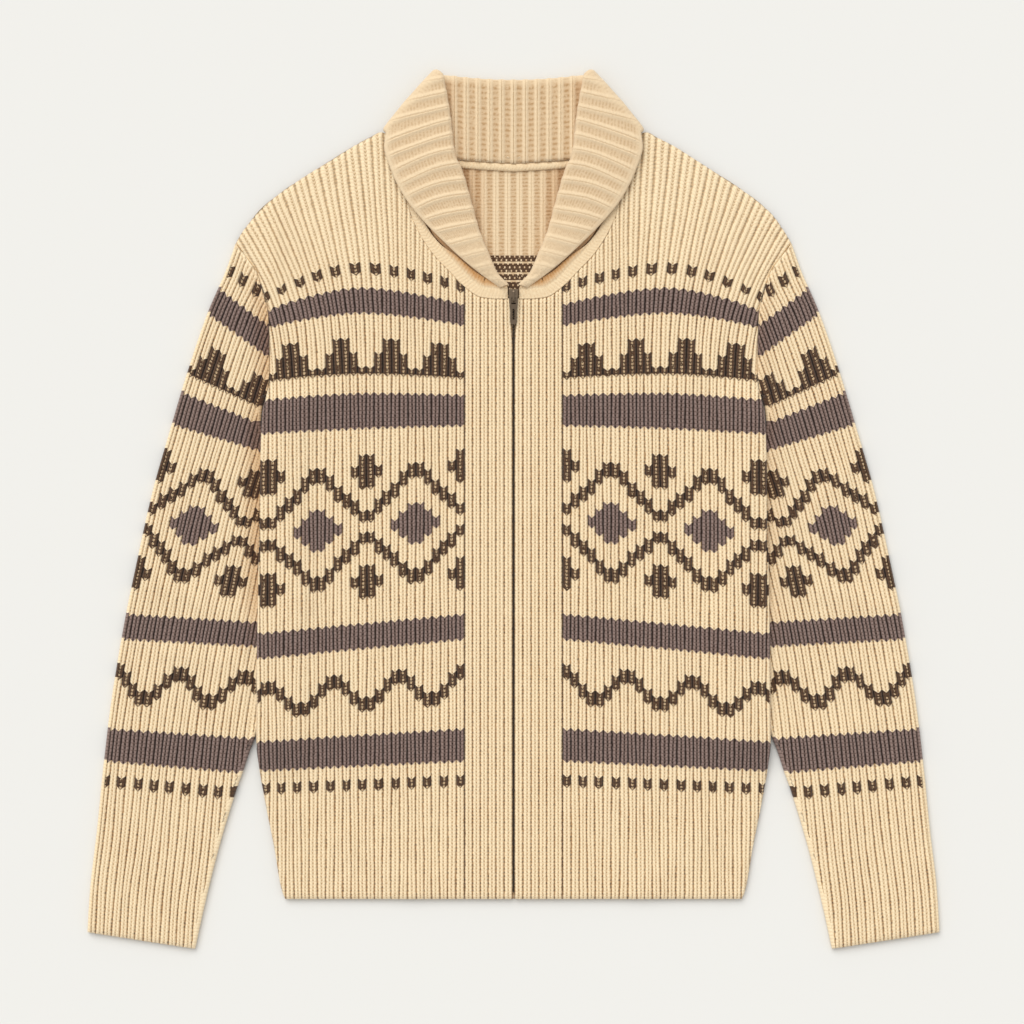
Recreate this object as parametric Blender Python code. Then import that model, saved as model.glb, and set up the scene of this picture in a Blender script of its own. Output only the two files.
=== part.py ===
"""A shawl-collared cardigan in heavy half-cardigan rib, zipped shut and laid flat with its front up.

Blender 4.5, metres, +Z up. The origin is on the floor under the middle of the garment's outline, the collar
points along +Y and the front faces up. The wearer's right side is at -X. The garment is symmetric about X = 0,
so every table below is for one side, with x measured outwards, in millimetres.
"""

import math
from collections import namedtuple

import bmesh
import bpy
from mathutils import Vector

MM = 0.001

# The knit: the wall of the cloth, and the ribs that stand on its outer face
WALL = 2.8
RIB_RISE = 1.6
RIB_PITCH = 7.5
BAND_RIBS = 6
SLEEVE_RIB_PITCH = 7.4
COLLAR_RIB_PITCH = 12.0
ROLL_OFF = 6.0
SEAM = 0.4
FLAT_WITHIN = math.radians(2)

# The layers, from the floor up
FRONT_UNDER = 3.9
FRONT_UNDER_AT_SIDE = 3.4
SLEEVE_HOLLOW = 1.1
SIDE_LIFT = 7.2
LIFT_FROM_X = 172.0
LIFT_RUN = 34.0

# The body's plan
HEM_Y = -359.0
UNDERARM_Y = 105.0
BAND_INNER_X = 1.9
BAND_OUTER_X = 44.9
PANEL_X = 45.3
PANEL_MOST_X = 237.0
CHEST_FAN_X = 98.0
EDGING_WIDTH = 8.4

At = namedtuple("At", "place value")

# Half width of the body at each height, from the hem to the underarm, and then up the armhole
BODY_SIDE = [
    At(-359, 210.5),
    At(-350, 213.9),
    At(-313, 220.3),
    At(-276, 227.7),
    At(-240, 234.0),
    At(-211, 236.9),
    At(-83, 235.0),
    At(60, 232.3),
    At(92, 230.6),
    At(105, 227.5),
    At(125, 225.0),
    At(179, 225.9),
    At(202, 231.4),
    At(219.4, 236.9),
    At(232, 246.0),
    At(245.2, 256.0),
]

# Top of the front for each x: the neckline as far as the neck point, and then the shoulder line
SHOULDER = [
    At(122.5, 347.5),
    At(130.2, 343.6),
    At(141.2, 338.1),
    At(154.1, 330.7),
    At(183.5, 312.3),
    At(211.1, 293.9),
    At(234.1, 275.5),
    At(248.9, 257.1),
    At(256.0, 245.2),
]
FRONT_TOP = [
    At(0.0, 194.8),
    At(14.6, 194.8),
    At(29.9, 196.4),
    At(43.7, 205.0),
    At(58.9, 220.3),
    At(75.9, 239.0),
    At(92.9, 269.6),
    At(98.0, 290.0),
    At(104.0, 312.0),
    At(110.0, 329.0),
] + SHOULDER
BACK_TOP = [At(0.0, 321.0), At(51.0, 324.5), At(81.0, 329.5), At(104.0, 333.5), At(112.0, 337.5)] + SHOULDER

# The sleeve's outer fold and its inner fold, whose upper part lies under the body
SLEEVE_OUTER = [
    At(-390, 393.0),
    At(-350, 390.5),
    At(-295, 384.1),
    At(-240, 378.6),
    At(-185, 372.1),
    At(-111, 360.2),
    At(-56, 349.1),
    At(18, 332.6),
    At(73, 316.9),
    At(128, 300.4),
    At(184, 281.1),
    At(220, 265.4),
    At(239, 258.6),
]
SLEEVE_INNER = [
    At(-405, 293.5),
    At(-369, 285.7),
    At(-313, 271.9),
    At(-258, 255.3),
    At(-240, 248.9),
    At(-221, 242.5),
    At(-205, 236.0),
    At(-180, 226.0),
    At(-150, 217.0),
    At(-110, 211.0),
    At(-50, 209.0),
    At(0, 212.0),
    At(40, 219.0),
    At(62, 227.0),
    At(80, 232.6),
    At(92, 231.7),
    At(105, 228.1),
]
SLEEVE_TOP_Y = 236.0
CUFF_Y = -389.6
CUFF_TILT = 0.155
CUFF_TILT_FROM_Y = -100.0

# The collar over the front, a row for each station from the side of the neck to the zip. The fold is its
# inner outline, the edge is the free edge of the fall, and the seam is where the stand is sewn on.
# Heights are those of the wall's middle: the stand's at its seam and at the fold, and the fall's at its edge.
# The opening is the distance between the stand and the fall at the fold.
Station = namedtuple("Station", "fold_x fold_y edge_x edge_y seam_x seam_y seam_z fold_z opening edge_z")
COLLAR_FRONT = [
    Station(63.5, 401.6, 115.5, 344.0, 107.5, 333.0, 10.2, 10.2, 5.4, 15.6),
    Station(57.1, 366.6, 118.0, 334.0, 94.8, 315.5, 9.6, 10.2, 6.0, 14.6),
    Station(52.0, 327.4, 112.4, 311.5, 88.6, 292.4, 7.4, 10.2, 6.4, 13.2),
    Station(45.5, 312.4, 99.8, 286.6, 84.0, 276.0, 5.8, 8.8, 6.4, 12.4),
    Station(36.5, 281.5, 79.8, 262.0, 74.5, 255.0, 5.4, 6.6, 6.4, 11.6),
    Station(29.9, 258.1, 63.0, 245.2, 59.0, 236.8, 5.4, 5.8, 6.4, 11.2),
    Station(21.6, 237.6, 45.8, 229.2, 43.6, 220.6, 5.4, 5.6, 6.0, 10.8),
    Station(13.0, 218.5, 28.6, 215.4, 28.4, 208.4, 5.4, 5.5, 5.6, 10.2),
    Station(2.6, 207.6, 12.4, 204.0, 12.0, 205.0, 5.4, 5.4, 5.2, 9.8),
]
COLLAR_BACK_FOLD_Y = 392.0
COLLAR_TURN_Z = 8.5
COLLAR_BACK_SEAM_Z = 4.6
COLLAR_LAP = 2.4
COLLAR_BACK_RIBS = 6
COLLAR_TURN_STEPS = 4
COLLAR_FAN_POWER = 6
VISIBLE_STAND_X = 44.0
FALL_CROWN = 1.2

# The zip
CHAIN_HALF = 1.6
CHAIN_BOTTOM_Y = -353.0
CHAIN_TOP_Y = 195.0
CHAIN_Z = (3.1, 6.0)
TAPE_X = (1.9, 15.0)
TAPE_Z = (3.1, 3.6)
SLIDER_HALF = 4.4
SLIDER_Y = (195.3, 203.0)
SLIDER_Z = (3.2, 9.0)
SLIDER_PLATE_Y = 190.0
SLIDER_PLATE_Z = (8.7, 9.9)
BAIL_HALF = 0.8
BAIL_WIRE = 1.25
HINGE_Y = 196.0
HINGE_Z = 11.4
PULL_LENGTH = 26.5
PULL_HALF = 3.7
PULL_END_HALF = 3.0
PULL_THICK = 1.5
PULL_DROP = 1.6

CREAM = (0.78, 0.63, 0.40, 1.0)
ZIP_BLACK = (0.03, 0.025, 0.02, 1.0)
ZIP_METAL = (0.30, 0.24, 0.17, 1.0)


def smooth(a):
    """A soft step from 0 to 1."""
    a = min(max(a, 0.0), 1.0)
    return a * a * (3 - 2 * a)


def mix(a, b, share):
    return a + (b - a) * share


def slope_at(table, i):
    """The slope of the curve through a table at row i, level at a peak, so that the curve never overshoots."""
    if i in (0, len(table) - 1):
        return 0.0 if len(table) < 3 else secant(table, min(i, len(table) - 2))
    before, after = secant(table, i - 1), secant(table, i)
    return 0.0 if before * after <= 0 else 2 * before * after / (before + after)


def secant(table, i):
    return (table[i + 1].value - table[i].value) / (table[i + 1].place - table[i].place)


def read(table, place):
    """The value at a place on a smooth curve through a table's rows, held level past its ends."""
    if place <= table[0].place:
        return table[0].value
    if place >= table[-1].place:
        return table[-1].value
    i = max(k for k in range(len(table) - 1) if table[k].place <= place)
    span = table[i + 1].place - table[i].place
    a = (place - table[i].place) / span
    bend = (1 + 2 * a) * (1 - a) ** 2 * table[i].value + a * a * (3 - 2 * a) * table[i + 1].value
    lean = a * (1 - a) ** 2 * slope_at(table, i) - a * a * (1 - a) * slope_at(table, i + 1)
    return bend + lean * span


def edge_round(distance):
    """Share of the cloth's height at a distance from a free edge, where its outer face rolls over."""
    a = min(max(distance / ROLL_OFF, 0.0), 1.0)
    return 0.4 + 0.6 * math.sqrt(1 - (1 - a) ** 2)


def side_lift(x, y):
    """How far the body rises at its side, where it lies on the sleeve's inner edge."""
    along = smooth((UNDERARM_Y + 20 - y) / 45) * smooth((y + 255) / 48)
    return SIDE_LIFT * along * smooth((x - LIFT_FROM_X) / LIFT_RUN)


def knit_material(name, colour, roughness, metallic=0.0):
    material = bpy.data.materials.new(name)
    material.use_nodes = True
    shader = material.node_tree.nodes["Principled BSDF"]
    shader.inputs["Base Color"].default_value = colour
    shader.inputs["Roughness"].default_value = roughness
    shader.inputs["Metallic"].default_value = metallic
    return material


def add_object(name, mesh, colour, roughness, metallic=0.0):
    """A mesh as a named object in the garment's collection, with a material of its own."""
    mesh.materials.append(knit_material(name, colour, roughness, metallic))
    piece = bpy.data.objects.new(name, mesh)
    GARMENT.objects.link(piece)
    piece.parent = ROOT
    return piece


def cloth(name, columns, rows, place, ribbed=True):
    """A wall of cloth: a grid laid on its outer face, its doubles merged, and a plain inner face closed to it.

    place(column, row, outer) gives a point of either face. Columns that an edge cuts off all stand on that
    edge, so merging them leaves a clean cut across the ribs.
    """
    bm = bmesh.new()
    bmesh.ops.create_grid(bm, x_segments=len(columns) - 1, y_segments=len(rows) - 1, size=1)
    spot = bm.verts.layers.int.new("spot")
    bm.verts.ensure_lookup_table()
    for i, vert in enumerate(bm.verts):
        vert[spot] = i
        row, column = divmod(i, len(columns))
        vert.co = Vector(place(columns[column], rows[row], True)) * MM
    bmesh.ops.remove_doubles(bm, verts=bm.verts, dist=1e-6)
    bmesh.ops.dissolve_degenerate(bm, dist=1e-7, edges=bm.edges)
    outer = set(bm.verts)
    grown = bmesh.ops.extrude_face_region(bm, geom=bm.faces[:], use_keep_orig=True)["geom"]
    inner = [part for part in grown if isinstance(part, bmesh.types.BMVert)]
    for vert in inner:
        row, column = divmod(vert[spot], len(columns))
        vert.co = Vector(place(columns[column], rows[row], False)) * MM
    bm.normal_update()
    plain = [edge for edge in bm.edges if not ribbed or not outer.intersection(edge.verts)]
    points = inner if ribbed else bm.verts
    bmesh.ops.dissolve_limit(bm, angle_limit=FLAT_WITHIN, verts=points, edges=plain)
    bmesh.ops.triangulate(bm, faces=bm.faces)
    bmesh.ops.recalc_face_normals(bm, faces=bm.faces)
    mesh = bpy.data.meshes.new(name)
    bm.to_mesh(mesh)
    bm.free()
    return add_object(name, mesh, CREAM, 0.9)


def half_ribs(start, end, pitch):
    """Places across the ribs, each with its rise: 0 in a valley and 1 on a crest."""
    count = math.ceil((end - start) / pitch * 2)
    return [(start + i * pitch / 2, i % 2) for i in range(count + 1)]


BODY_ROWS = [HEM_Y, HEM_Y + 2.5, HEM_Y + 9, -300, -255, -230, -207, -60, 80, UNDERARM_Y]
UPPER_ROWS = [0.14, 0.42, 0.7, 0.86, 0.965, 1.0]
SEWN_ROWS = UPPER_ROWS[:4]


def body_row(row, top):
    """Height of a row: a number up to the underarm, or past it a share of the way from there to the top."""
    kind, value = row
    return value if kind == "level" else mix(UNDERARM_Y, top, value)


def fanned(x, y):
    """A front or back column's x at a height: plumb below the underarm, and following the armhole above it."""
    share = min(max((x - CHEST_FAN_X) / (read(BODY_SIDE, UNDERARM_Y) - CHEST_FAN_X), 0.0), 1.0)
    lean = 0.0 if y < UNDERARM_Y else read(BODY_SIDE, y) - read(BODY_SIDE, UNDERARM_Y)
    return x + lean * share**1.6


def column_point(x, row, top_table):
    """Where a column crosses a row, with its distances to the side edge and to the top edge."""
    top = read(top_table, x)
    for _ in range(12):
        top = read(top_table, min(fanned(x, top), read(BODY_SIDE, top)))
    y = body_row(row, top)
    side = read(BODY_SIDE, y)
    across = min(fanned(x, y), side)
    if side - across < 0.9:
        across = side
        y = body_row(row, read(SHOULDER, SHOULDER[-1].place)) if row[0] == "share" else y
        across = read(BODY_SIDE, y)
    return across, y, side - across, top - y


def body_rows():
    return [("level", y) for y in BODY_ROWS] + [("share", share) for share in UPPER_ROWS]


def front(name, side):
    """A front panel: ribs from the band to the side, fanning into the shoulder, cut at the side and armhole."""

    def place(column, row, outer):
        x, y, to_side, to_top = column_point(column[0], row, FRONT_TOP)
        under = mix(FRONT_UNDER, FRONT_UNDER_AT_SIDE, smooth(x / 200)) + side_lift(x, y)
        if not outer:
            return side * x, y, under
        height = WALL + RIB_RISE * (column[1] if to_side > 0 else 0)
        free = min(to_side, y - HEM_Y, to_top) if y < UNDERARM_Y or x > 122 else y - HEM_Y
        return side * x, y, under + height * edge_round(free)

    return cloth(name, half_ribs(PANEL_X, PANEL_MOST_X, RIB_PITCH), body_rows(), place)


def front_band(name, side):
    """The strip of ribs beside the zip."""
    pitch = (BAND_OUTER_X - BAND_INNER_X) / BAND_RIBS
    rows = [("level", y) for y in (HEM_Y, HEM_Y + 2.5, HEM_Y + 9, UNDERARM_Y)] + [("share", 0.94), ("share", 1.0)]

    def place(column, row, outer):
        x = column[0]
        y = body_row(row, read(FRONT_TOP, x))
        if not outer:
            return side * x, y, FRONT_UNDER
        free = min(y - HEM_Y, (x - BAND_INNER_X) * 3)
        return side * x, y, FRONT_UNDER + (WALL + RIB_RISE * column[1]) * edge_round(free)

    columns = half_ribs(BAND_INNER_X, BAND_OUTER_X, pitch)
    return cloth(name, columns[: 2 * BAND_RIBS + 1], rows, place)


def back(name):
    """The back: the full width, plain on the floor and plain inside, raised at its sides over the sleeves."""
    half = [0, 30, 51, 81, 104, 113, 122.5, 141, 160, LIFT_FROM_X, 181, 189, 197, 206, 216, 227.5, 232, 237]
    columns = [(-x, -1) for x in reversed(half[1:])] + [(x, 1) for x in half]

    def place(column, row, outer):
        x, y, to_side, to_top = column_point(abs(column[0]), row, BACK_TOP)
        under = side_lift(x, y)
        if not outer:
            return column[1] * x, y, under
        return column[1] * x, y, under + WALL * edge_round(min(to_side, y - HEM_Y, to_top) * 2)

    return cloth(name, columns, body_rows(), place, ribbed=False)


def sleeve_rows():
    """Heights of the sleeve's sections at its outer fold, from the cuff to the shoulder."""
    shaft = [CUFF_Y, CUFF_Y + 2.5, CUFF_Y + 9, -330, -270, -225, -205, -175, -130, -50, 20, 62, 80, 104.9]
    armhole_top = BODY_SIDE[-1].place
    return shaft + [mix(UNDERARM_Y, armhole_top, share) for share in SEWN_ROWS] + [SLEEVE_TOP_Y]


def sleeve_inner(y, outer_x, tilt):
    """x of the inner fold on a tilted section, or of the armhole seam above the underarm."""
    if y > UNDERARM_Y:
        return read(BODY_SIDE, y) + SEAM
    x = read(SLEEVE_INNER, y)
    for _ in range(4):
        x = read(SLEEVE_INNER, y - tilt * (outer_x - x))
    return x


def sleeve(name, side):
    """A sleeve: a flat tube with its ribs counted from the outer fold, open at the cuff and at the armhole."""
    fold = WALL + SLEEVE_HOLLOW / 2
    over = [("over", fold + t, rise) for t, rise in half_ribs(0, 150, SLEEVE_RIB_PITCH)]
    columns = [("tuck", -a, 0) for a in (0, 35, 65)]
    columns += [("under", t, 0) for t in (150, 120, 90, 60, 30)]
    columns += [("fold", a, 0) for a in (-90, -45, 0, 45)]
    columns += over
    columns += [("tuck", a, 0) for a in (65, 35, 0)]

    def place(column, row, outer):
        kind, value, rise = column
        outer_x = read(SLEEVE_OUTER, row)
        tilt = CUFF_TILT * smooth((CUFF_TILT_FROM_Y - row) / (CUFF_TILT_FROM_Y - CUFF_Y))
        inner_x = sleeve_inner(row, outer_x, tilt)
        armhole = row > UNDERARM_Y
        lean = (read(SLEEVE_OUTER, row + 2) - read(SLEEVE_OUTER, row - 2)) / 4
        radius = fold if outer else fold - WALL
        least = inner_x if armhole else inner_x + fold
        outer_end = outer_x - fold
        if kind == "fold":
            x = outer_end + radius * math.cos(math.radians(value))
            z = fold + radius * math.sin(math.radians(value))
        elif kind == "tuck":
            turn = math.radians(abs(value))
            x = least if armhole else least - radius * math.cos(turn)
            upper = value > 0 or column is columns[-1]
            share = 1.0 if armhole else math.sin(turn)
            z = fold + radius * share * (1 if upper else -1)
        else:
            x = max(outer_x - value * math.hypot(1, lean), least)
            x = least if x - least < 0.9 else min(x, outer_end)
            z = fold + radius * (1 if kind == "over" else -1)
        y = row - tilt * (outer_x - x)
        if outer and kind == "over" and x > least:
            z += RIB_RISE * rise * sleeve_rib_share(x, y, row)
        if outer and z > fold:
            z = fold + (z - fold) * edge_round(row - CUFF_Y)
        return side * x, y, z

    return cloth(name, columns, sleeve_rows(), place)


def sleeve_rib_share(x, y, row):
    """The ribs are pressed flat where the body lies on the sleeve, and low beside the armhole seam."""
    from_body = x - read(BODY_SIDE, y)
    if row > UNDERARM_Y:
        return mix(0.4, 1.0, smooth(from_body / 6))
    if y < -215:
        return 1.0
    return smooth((from_body - 5) / 6)


def mixed_station(q):
    """A row of the front collar's table at a place between its rows."""
    i = min(int(q), len(COLLAR_FRONT) - 2)
    columns = []
    for field in Station._fields:
        table = [At(k, getattr(station, field)) for k, station in enumerate(COLLAR_FRONT)]
        columns.append(read(table, q) if q < i + 1 else table[-1].value)
    return Station(*columns)


Section = namedtuple("Section", "seam centre edge out reach half rise_stand rise_fall")


def front_section(q):
    """The collar's cross-section at a place on the front: where it is sewn, folded and ends."""
    row = mixed_station(q)
    root = Vector((row.seam_x + row.edge_x, row.seam_y + row.edge_y)) / 2
    reach = (Vector((row.fold_x, row.fold_y)) - root).normalized()
    half = row.opening / 2
    centre = Vector((row.fold_x, row.fold_y)) - reach * (half + WALL / 2 + RIB_RISE)
    return Section(
        Vector((row.seam_x, row.seam_y, row.seam_z)),
        Vector((centre.x, centre.y, row.fold_z + half)),
        Vector((row.edge_x, row.edge_y, row.edge_z)),
        Vector((0, 0, 1)),
        Vector((reach.x, reach.y, 0)),
        half,
        0.0,
        1.0,
    )


def turn_section(angle):
    """The collar's cross-section where it turns at the side of the neck, from the back layer to the front."""
    first = front_section(0)
    line = (first.edge - first.centre).xy.normalized()
    side = Vector((-line.y, line.x, 0))
    out = side * math.cos(angle) + Vector((0, 0, math.sin(angle)))

    def swung(point):
        return Vector((point.x, point.y, COLLAR_TURN_Z)) + out * (point.z - COLLAR_TURN_Z)

    return first._replace(
        seam=swung(first.seam),
        centre=swung(first.centre),
        edge=swung(first.edge),
        out=out,
        rise_fall=smooth(0.6 + angle),
    )


def back_section(s):
    """The collar's cross-section behind the neck: s is 0 at the centre back and 1 at the side."""
    last = turn_section(-math.pi / 2)
    fan = s**COLLAR_FAN_POWER

    def spread(point, table, shift):
        x = last.centre.x * s + (point.x - last.centre.x) * fan
        end = point.y - read(table, point.x) - shift
        return Vector((x, read(table, x) + shift + end * fan, point.z))

    seam = spread(last.seam, BACK_TOP, -COLLAR_LAP)
    seam.z = mix(COLLAR_BACK_SEAM_Z, last.seam.z, s)
    edge = spread(last.edge, BACK_TOP, 2.2)
    centre = Vector((last.centre.x * s, mix(COLLAR_BACK_FOLD_Y, last.centre.y, s * s), last.centre.z))
    reach = (centre - (seam + edge) / 2).xy.normalized()
    seen = 1 - smooth((centre.x - VISIBLE_STAND_X) / 12)
    return last._replace(
        seam=seam, centre=centre, edge=edge, reach=Vector((reach.x, reach.y, 0)), rise_stand=seen, rise_fall=0.0
    )


COLLAR_COLUMNS = [
    ("stand", 0.0),
    ("stand", 0.5),
    ("roll", -90),
    ("roll", -32),
    ("roll", 32),
    ("roll", 90),
    ("fall", 0.35),
    ("fall", 0.7),
    ("fall", 0.95),
    ("fall", 1.0),
]


def collar_point(section, rise, column, outer):
    """A point of the collar: up the stand, round the roll and down the fall."""
    kind, value = column
    if kind == "stand":
        middle = section.seam.lerp(section.centre - section.out * section.half, value)
        away, show = -section.out, section.rise_stand
    elif kind == "fall":
        middle = (section.centre + section.out * section.half).lerp(section.edge, value)
        middle = middle + section.out * FALL_CROWN * section.rise_fall * math.sin(math.pi * value)
        away, show = section.out, section.rise_fall
    else:
        turn = math.radians(value)
        away = section.reach * math.cos(turn) + section.out * math.sin(turn)
        middle = section.centre + away * section.half
        show = mix(section.rise_stand, section.rise_fall, smooth(value / 180 + 0.5))
    if not outer:
        return middle - away * WALL / 2
    height = WALL / 2 + RIB_RISE * rise * show
    if column == COLLAR_COLUMNS[-1]:
        height = 0.3 * WALL / 2
    return middle + away * height


def fold_lengths(steps):
    """Distance along the front fold from the side of the neck to each of the steps down the table."""
    last = len(COLLAR_FRONT) - 1
    places = [mixed_station(last * i / steps) for i in range(steps + 1)]
    total = [0.0]
    for one, two in zip(places, places[1:]):
        total.append(total[-1] + math.hypot(two.fold_x - one.fold_x, two.fold_y - one.fold_y))
    return total


def collar_sections():
    """The collar's sections for one side, from the centre back to the zip, two for each rib."""
    sections = [back_section(i / (2 * COLLAR_BACK_RIBS)) for i in range(2 * COLLAR_BACK_RIBS)]
    turns = [math.pi * (i / COLLAR_TURN_STEPS - 0.5) for i in range(COLLAR_TURN_STEPS + 1)]
    sections += [turn_section(angle) for angle in turns[:-1]]
    steps = 200
    total = fold_lengths(steps)
    count = 2 * round(total[-1] / COLLAR_RIB_PITCH)
    for i in range(count + 1):
        target = total[-1] * i / count
        k = min(sum(length < target for length in total), steps)
        sections.append(front_section((len(COLLAR_FRONT) - 1) * k / steps))
    return sections


def collar(name):
    """The shawl collar: one ribbed strip sewn round the neck and folded over outwards."""
    sections = collar_sections()
    half = list(enumerate(sections))
    columns = [(-1, i, section) for i, section in reversed(half[1:])] + [(1, i, section) for i, section in half]

    def place(column, row, outer):
        side, i, section = column
        point = collar_point(section, (i + 1) % 2, row, outer)
        return side * point.x, point.y, point.z

    return cloth(name, columns, COLLAR_COLUMNS, place)


def neckline(count, end_x):
    """Points down the neckline, from the neck point to the zip, with the way towards the neck at each."""
    points = [Vector((x, read(FRONT_TOP, x))) for x in (mix(106.0, end_x, i / count) for i in range(count + 1))]
    found = []
    for i, point in enumerate(points):
        along = (points[min(i + 1, count)] - points[max(i - 1, 0)]).normalized()
        found.append((point, Vector((along.y, -along.x)) if along.x < 0 else Vector((-along.y, along.x))))
    return found


def neck_edging(name, side):
    """The smooth strip along the neckline, between the front and the collar's stand."""
    places = neckline(22, 5.2)
    profile = [(0.0, 0.55), (0.2, 1.0), (0.8, 1.0), (1.0, 0.7)]

    def place(column, row, outer):
        point, inwards = column
        if inwards.dot(Vector((-1, 1))) < 0:
            inwards = -inwards
        width = EDGING_WIDTH * (0.55 if point.x < 9 else 1.0)
        spot = point + inwards * (SEAM + (width - SEAM) * row[0])
        z = FRONT_UNDER + (WALL * row[1] if outer else 0.0)
        return side * max(spot.x, 5.2), spot.y, z

    return cloth(name, places, profile, place)


def neck_tape(name):
    """The strip that covers the seam inside the back neck, on the back just below the stand."""
    columns = [-54, -36, -18, 0, 18, 36, 54]
    rows = [(-COLLAR_LAP - 0.5, 0.6), (-COLLAR_LAP - 1.7, 1.0), (-COLLAR_LAP - 6.5, 1.0), (-COLLAR_LAP - 7.6, 0.6)]

    def place(column, row, outer):
        y = read(BACK_TOP, abs(column)) + row[0]
        return column, y, WALL + SEAM + (1.2 * row[1] if outer else 0.0)

    return cloth(name, columns, rows, place)


def bar(name, x_range, y_range, z_range, bevel, colour, roughness, metallic=0.0):
    """A plain bar from a cube, with its edges rounded."""
    bm = bmesh.new()
    bmesh.ops.create_cube(bm, size=1)
    spans = (x_range, y_range, z_range)
    for vert in bm.verts:
        vert.co = Vector(mix(low, high, share + 0.5) for (low, high), share in zip(spans, vert.co)) * MM
    if bevel:
        bmesh.ops.bevel(bm, geom=bm.edges, offset=bevel * MM, segments=2, profile=0.5, affect="EDGES")
    mesh = bpy.data.meshes.new(name)
    bm.to_mesh(mesh)
    bm.free()
    return add_object(name, mesh, colour, roughness, metallic)


def outline_plate(name, loops, half_thick):
    """A flat plate from closed outlines in millimetres, the first its rim and the others holes, as a mesh."""
    curve = bpy.data.curves.new(name, "CURVE")
    curve.dimensions = "2D"
    curve.fill_mode = "BOTH"
    curve.extrude = half_thick * MM
    for points in loops:
        spline = curve.splines.new("POLY")
        spline.points.add(len(points) - 1)
        for spline_point, (x, y) in zip(spline.points, points):
            spline_point.co = (x * MM, y * MM, 0, 1)
        spline.use_cyclic_u = True
    flat = bpy.data.objects.new(name + "_outline", curve)
    GARMENT.objects.link(flat)
    graph = bpy.context.evaluated_depsgraph_get()
    mesh = bpy.data.meshes.new_from_object(flat.evaluated_get(graph))
    bpy.data.objects.remove(flat)
    bm = bmesh.new()
    bm.from_mesh(mesh)
    bmesh.ops.remove_doubles(bm, verts=bm.verts, dist=1e-6)
    bmesh.ops.recalc_face_normals(bm, faces=bm.faces)
    bm.to_mesh(mesh)
    bm.free()
    mesh.name = name
    return mesh


def rounded_box(x_low, x_high, y_low, y_high, radius, steps=3):
    """The outline of a rectangle with round corners, anticlockwise."""
    corners = [(x_high, y_high, 0), (x_low, y_high, 90), (x_low, y_low, 180), (x_high, y_low, 270)]
    points = []
    for x, y, start in corners:
        cx = x - math.copysign(radius, x - (x_low + x_high) / 2)
        cy = y - math.copysign(radius, y - (y_low + y_high) / 2)
        for i in range(steps + 1):
            turn = math.radians(start + 90 * i / steps)
            points.append((cx + radius * math.cos(turn), cy + radius * math.sin(turn)))
    return points


def zip_slider(name):
    """The slider: its shell round the top of the teeth, its upper plate, and the bail that holds the pull."""
    body = bar(name, (-SLIDER_HALF, SLIDER_HALF), SLIDER_Y, SLIDER_Z, 0.9, ZIP_METAL, 0.4, 0.9)
    plate_y = (SLIDER_PLATE_Y, SLIDER_Y[1] - 0.2)
    plate = bar("slider_plate", (-4.1, 4.1), plate_y, SLIDER_PLATE_Z, 0.35, ZIP_METAL, 0.4, 0.9)
    low, high = SLIDER_PLATE_Y + 1.0, SLIDER_Y[1] - 1.0
    foot, top = SLIDER_PLATE_Z[0] + 0.4, HINGE_Z + 2.8
    rim = rounded_box(low, high, foot, top, 1.9)
    hole = rounded_box(low + BAIL_WIRE, high - BAIL_WIRE, SLIDER_PLATE_Z[1] - 0.5, top - BAIL_WIRE, 1.0)
    bail = add_object("slider_bail", outline_plate("slider_bail", [rim, hole], BAIL_HALF), ZIP_METAL, 0.4, 0.9)
    bail.rotation_euler = (math.pi / 2, 0, math.pi / 2)
    for part in (plate, bail):
        part.hide_render = True
        part.display_type = "WIRE"
        GARMENT.objects.unlink(part)
        HELPERS.objects.link(part)
        union = body.modifiers.new(part.name, "BOOLEAN")
        union.operation = "UNION"
        union.object = part
    return body


def zip_pull(name):
    """The pull tab: a tapered plate that hangs from its top bar in the bail, lying towards the hem."""
    end_y = 0.9 - PULL_LENGTH
    rim = [(-PULL_HALF + 0.8, 0.9), (-PULL_HALF, 0.1), (-PULL_HALF, -9.5), (-PULL_END_HALF, -12.5)]
    rim += [(-PULL_END_HALF, end_y + 1.6), (-PULL_END_HALF + 1.4, end_y)]
    rim += [(-x, y) for x, y in reversed(rim)]
    window = rounded_box(-2.1, 2.1, -7.2, -1.0, 0.6)
    slot = rounded_box(-1.1, 1.1, -21.5, -11.5, 1.0)
    mesh = outline_plate(name, [rim, window, slot], PULL_THICK / 2)
    for vert in mesh.vertices:
        vert.co.z -= PULL_DROP * MM * smooth(-vert.co.y / MM / PULL_LENGTH)
    pull = add_object(name, mesh, ZIP_METAL, 0.45, 0.9)
    pull.location = (0, HINGE_Y * MM, HINGE_Z * MM)
    return pull


def zip_fastener():
    """The closed zip: its two tapes between back and front, the teeth, the slider and its pull."""
    ends = (CHAIN_BOTTOM_Y, CHAIN_TOP_Y)
    for label, side in (("right", -1), ("left", 1)):
        spans = tuple(sorted(side * x for x in TAPE_X))
        bar("zip_tape_" + label, spans, ends, TAPE_Z, 0.0, ZIP_BLACK, 0.9)
    bar("zip_chain", (-CHAIN_HALF, CHAIN_HALF), ends, CHAIN_Z, 0.5, ZIP_BLACK, 0.5, 0.5)
    zip_slider("zip_slider")
    zip_pull("zip_pull")


def clear_scene():
    for thing in list(bpy.data.objects):
        bpy.data.objects.remove(thing, do_unlink=True)


def new_collection(name):
    made = bpy.data.collections.new(name)
    bpy.context.scene.collection.children.link(made)
    return made


clear_scene()
GARMENT = new_collection("cardigan")
HELPERS = new_collection("cardigan_helpers")
ROOT = bpy.data.objects.new("cardigan", None)
GARMENT.objects.link(ROOT)

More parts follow.
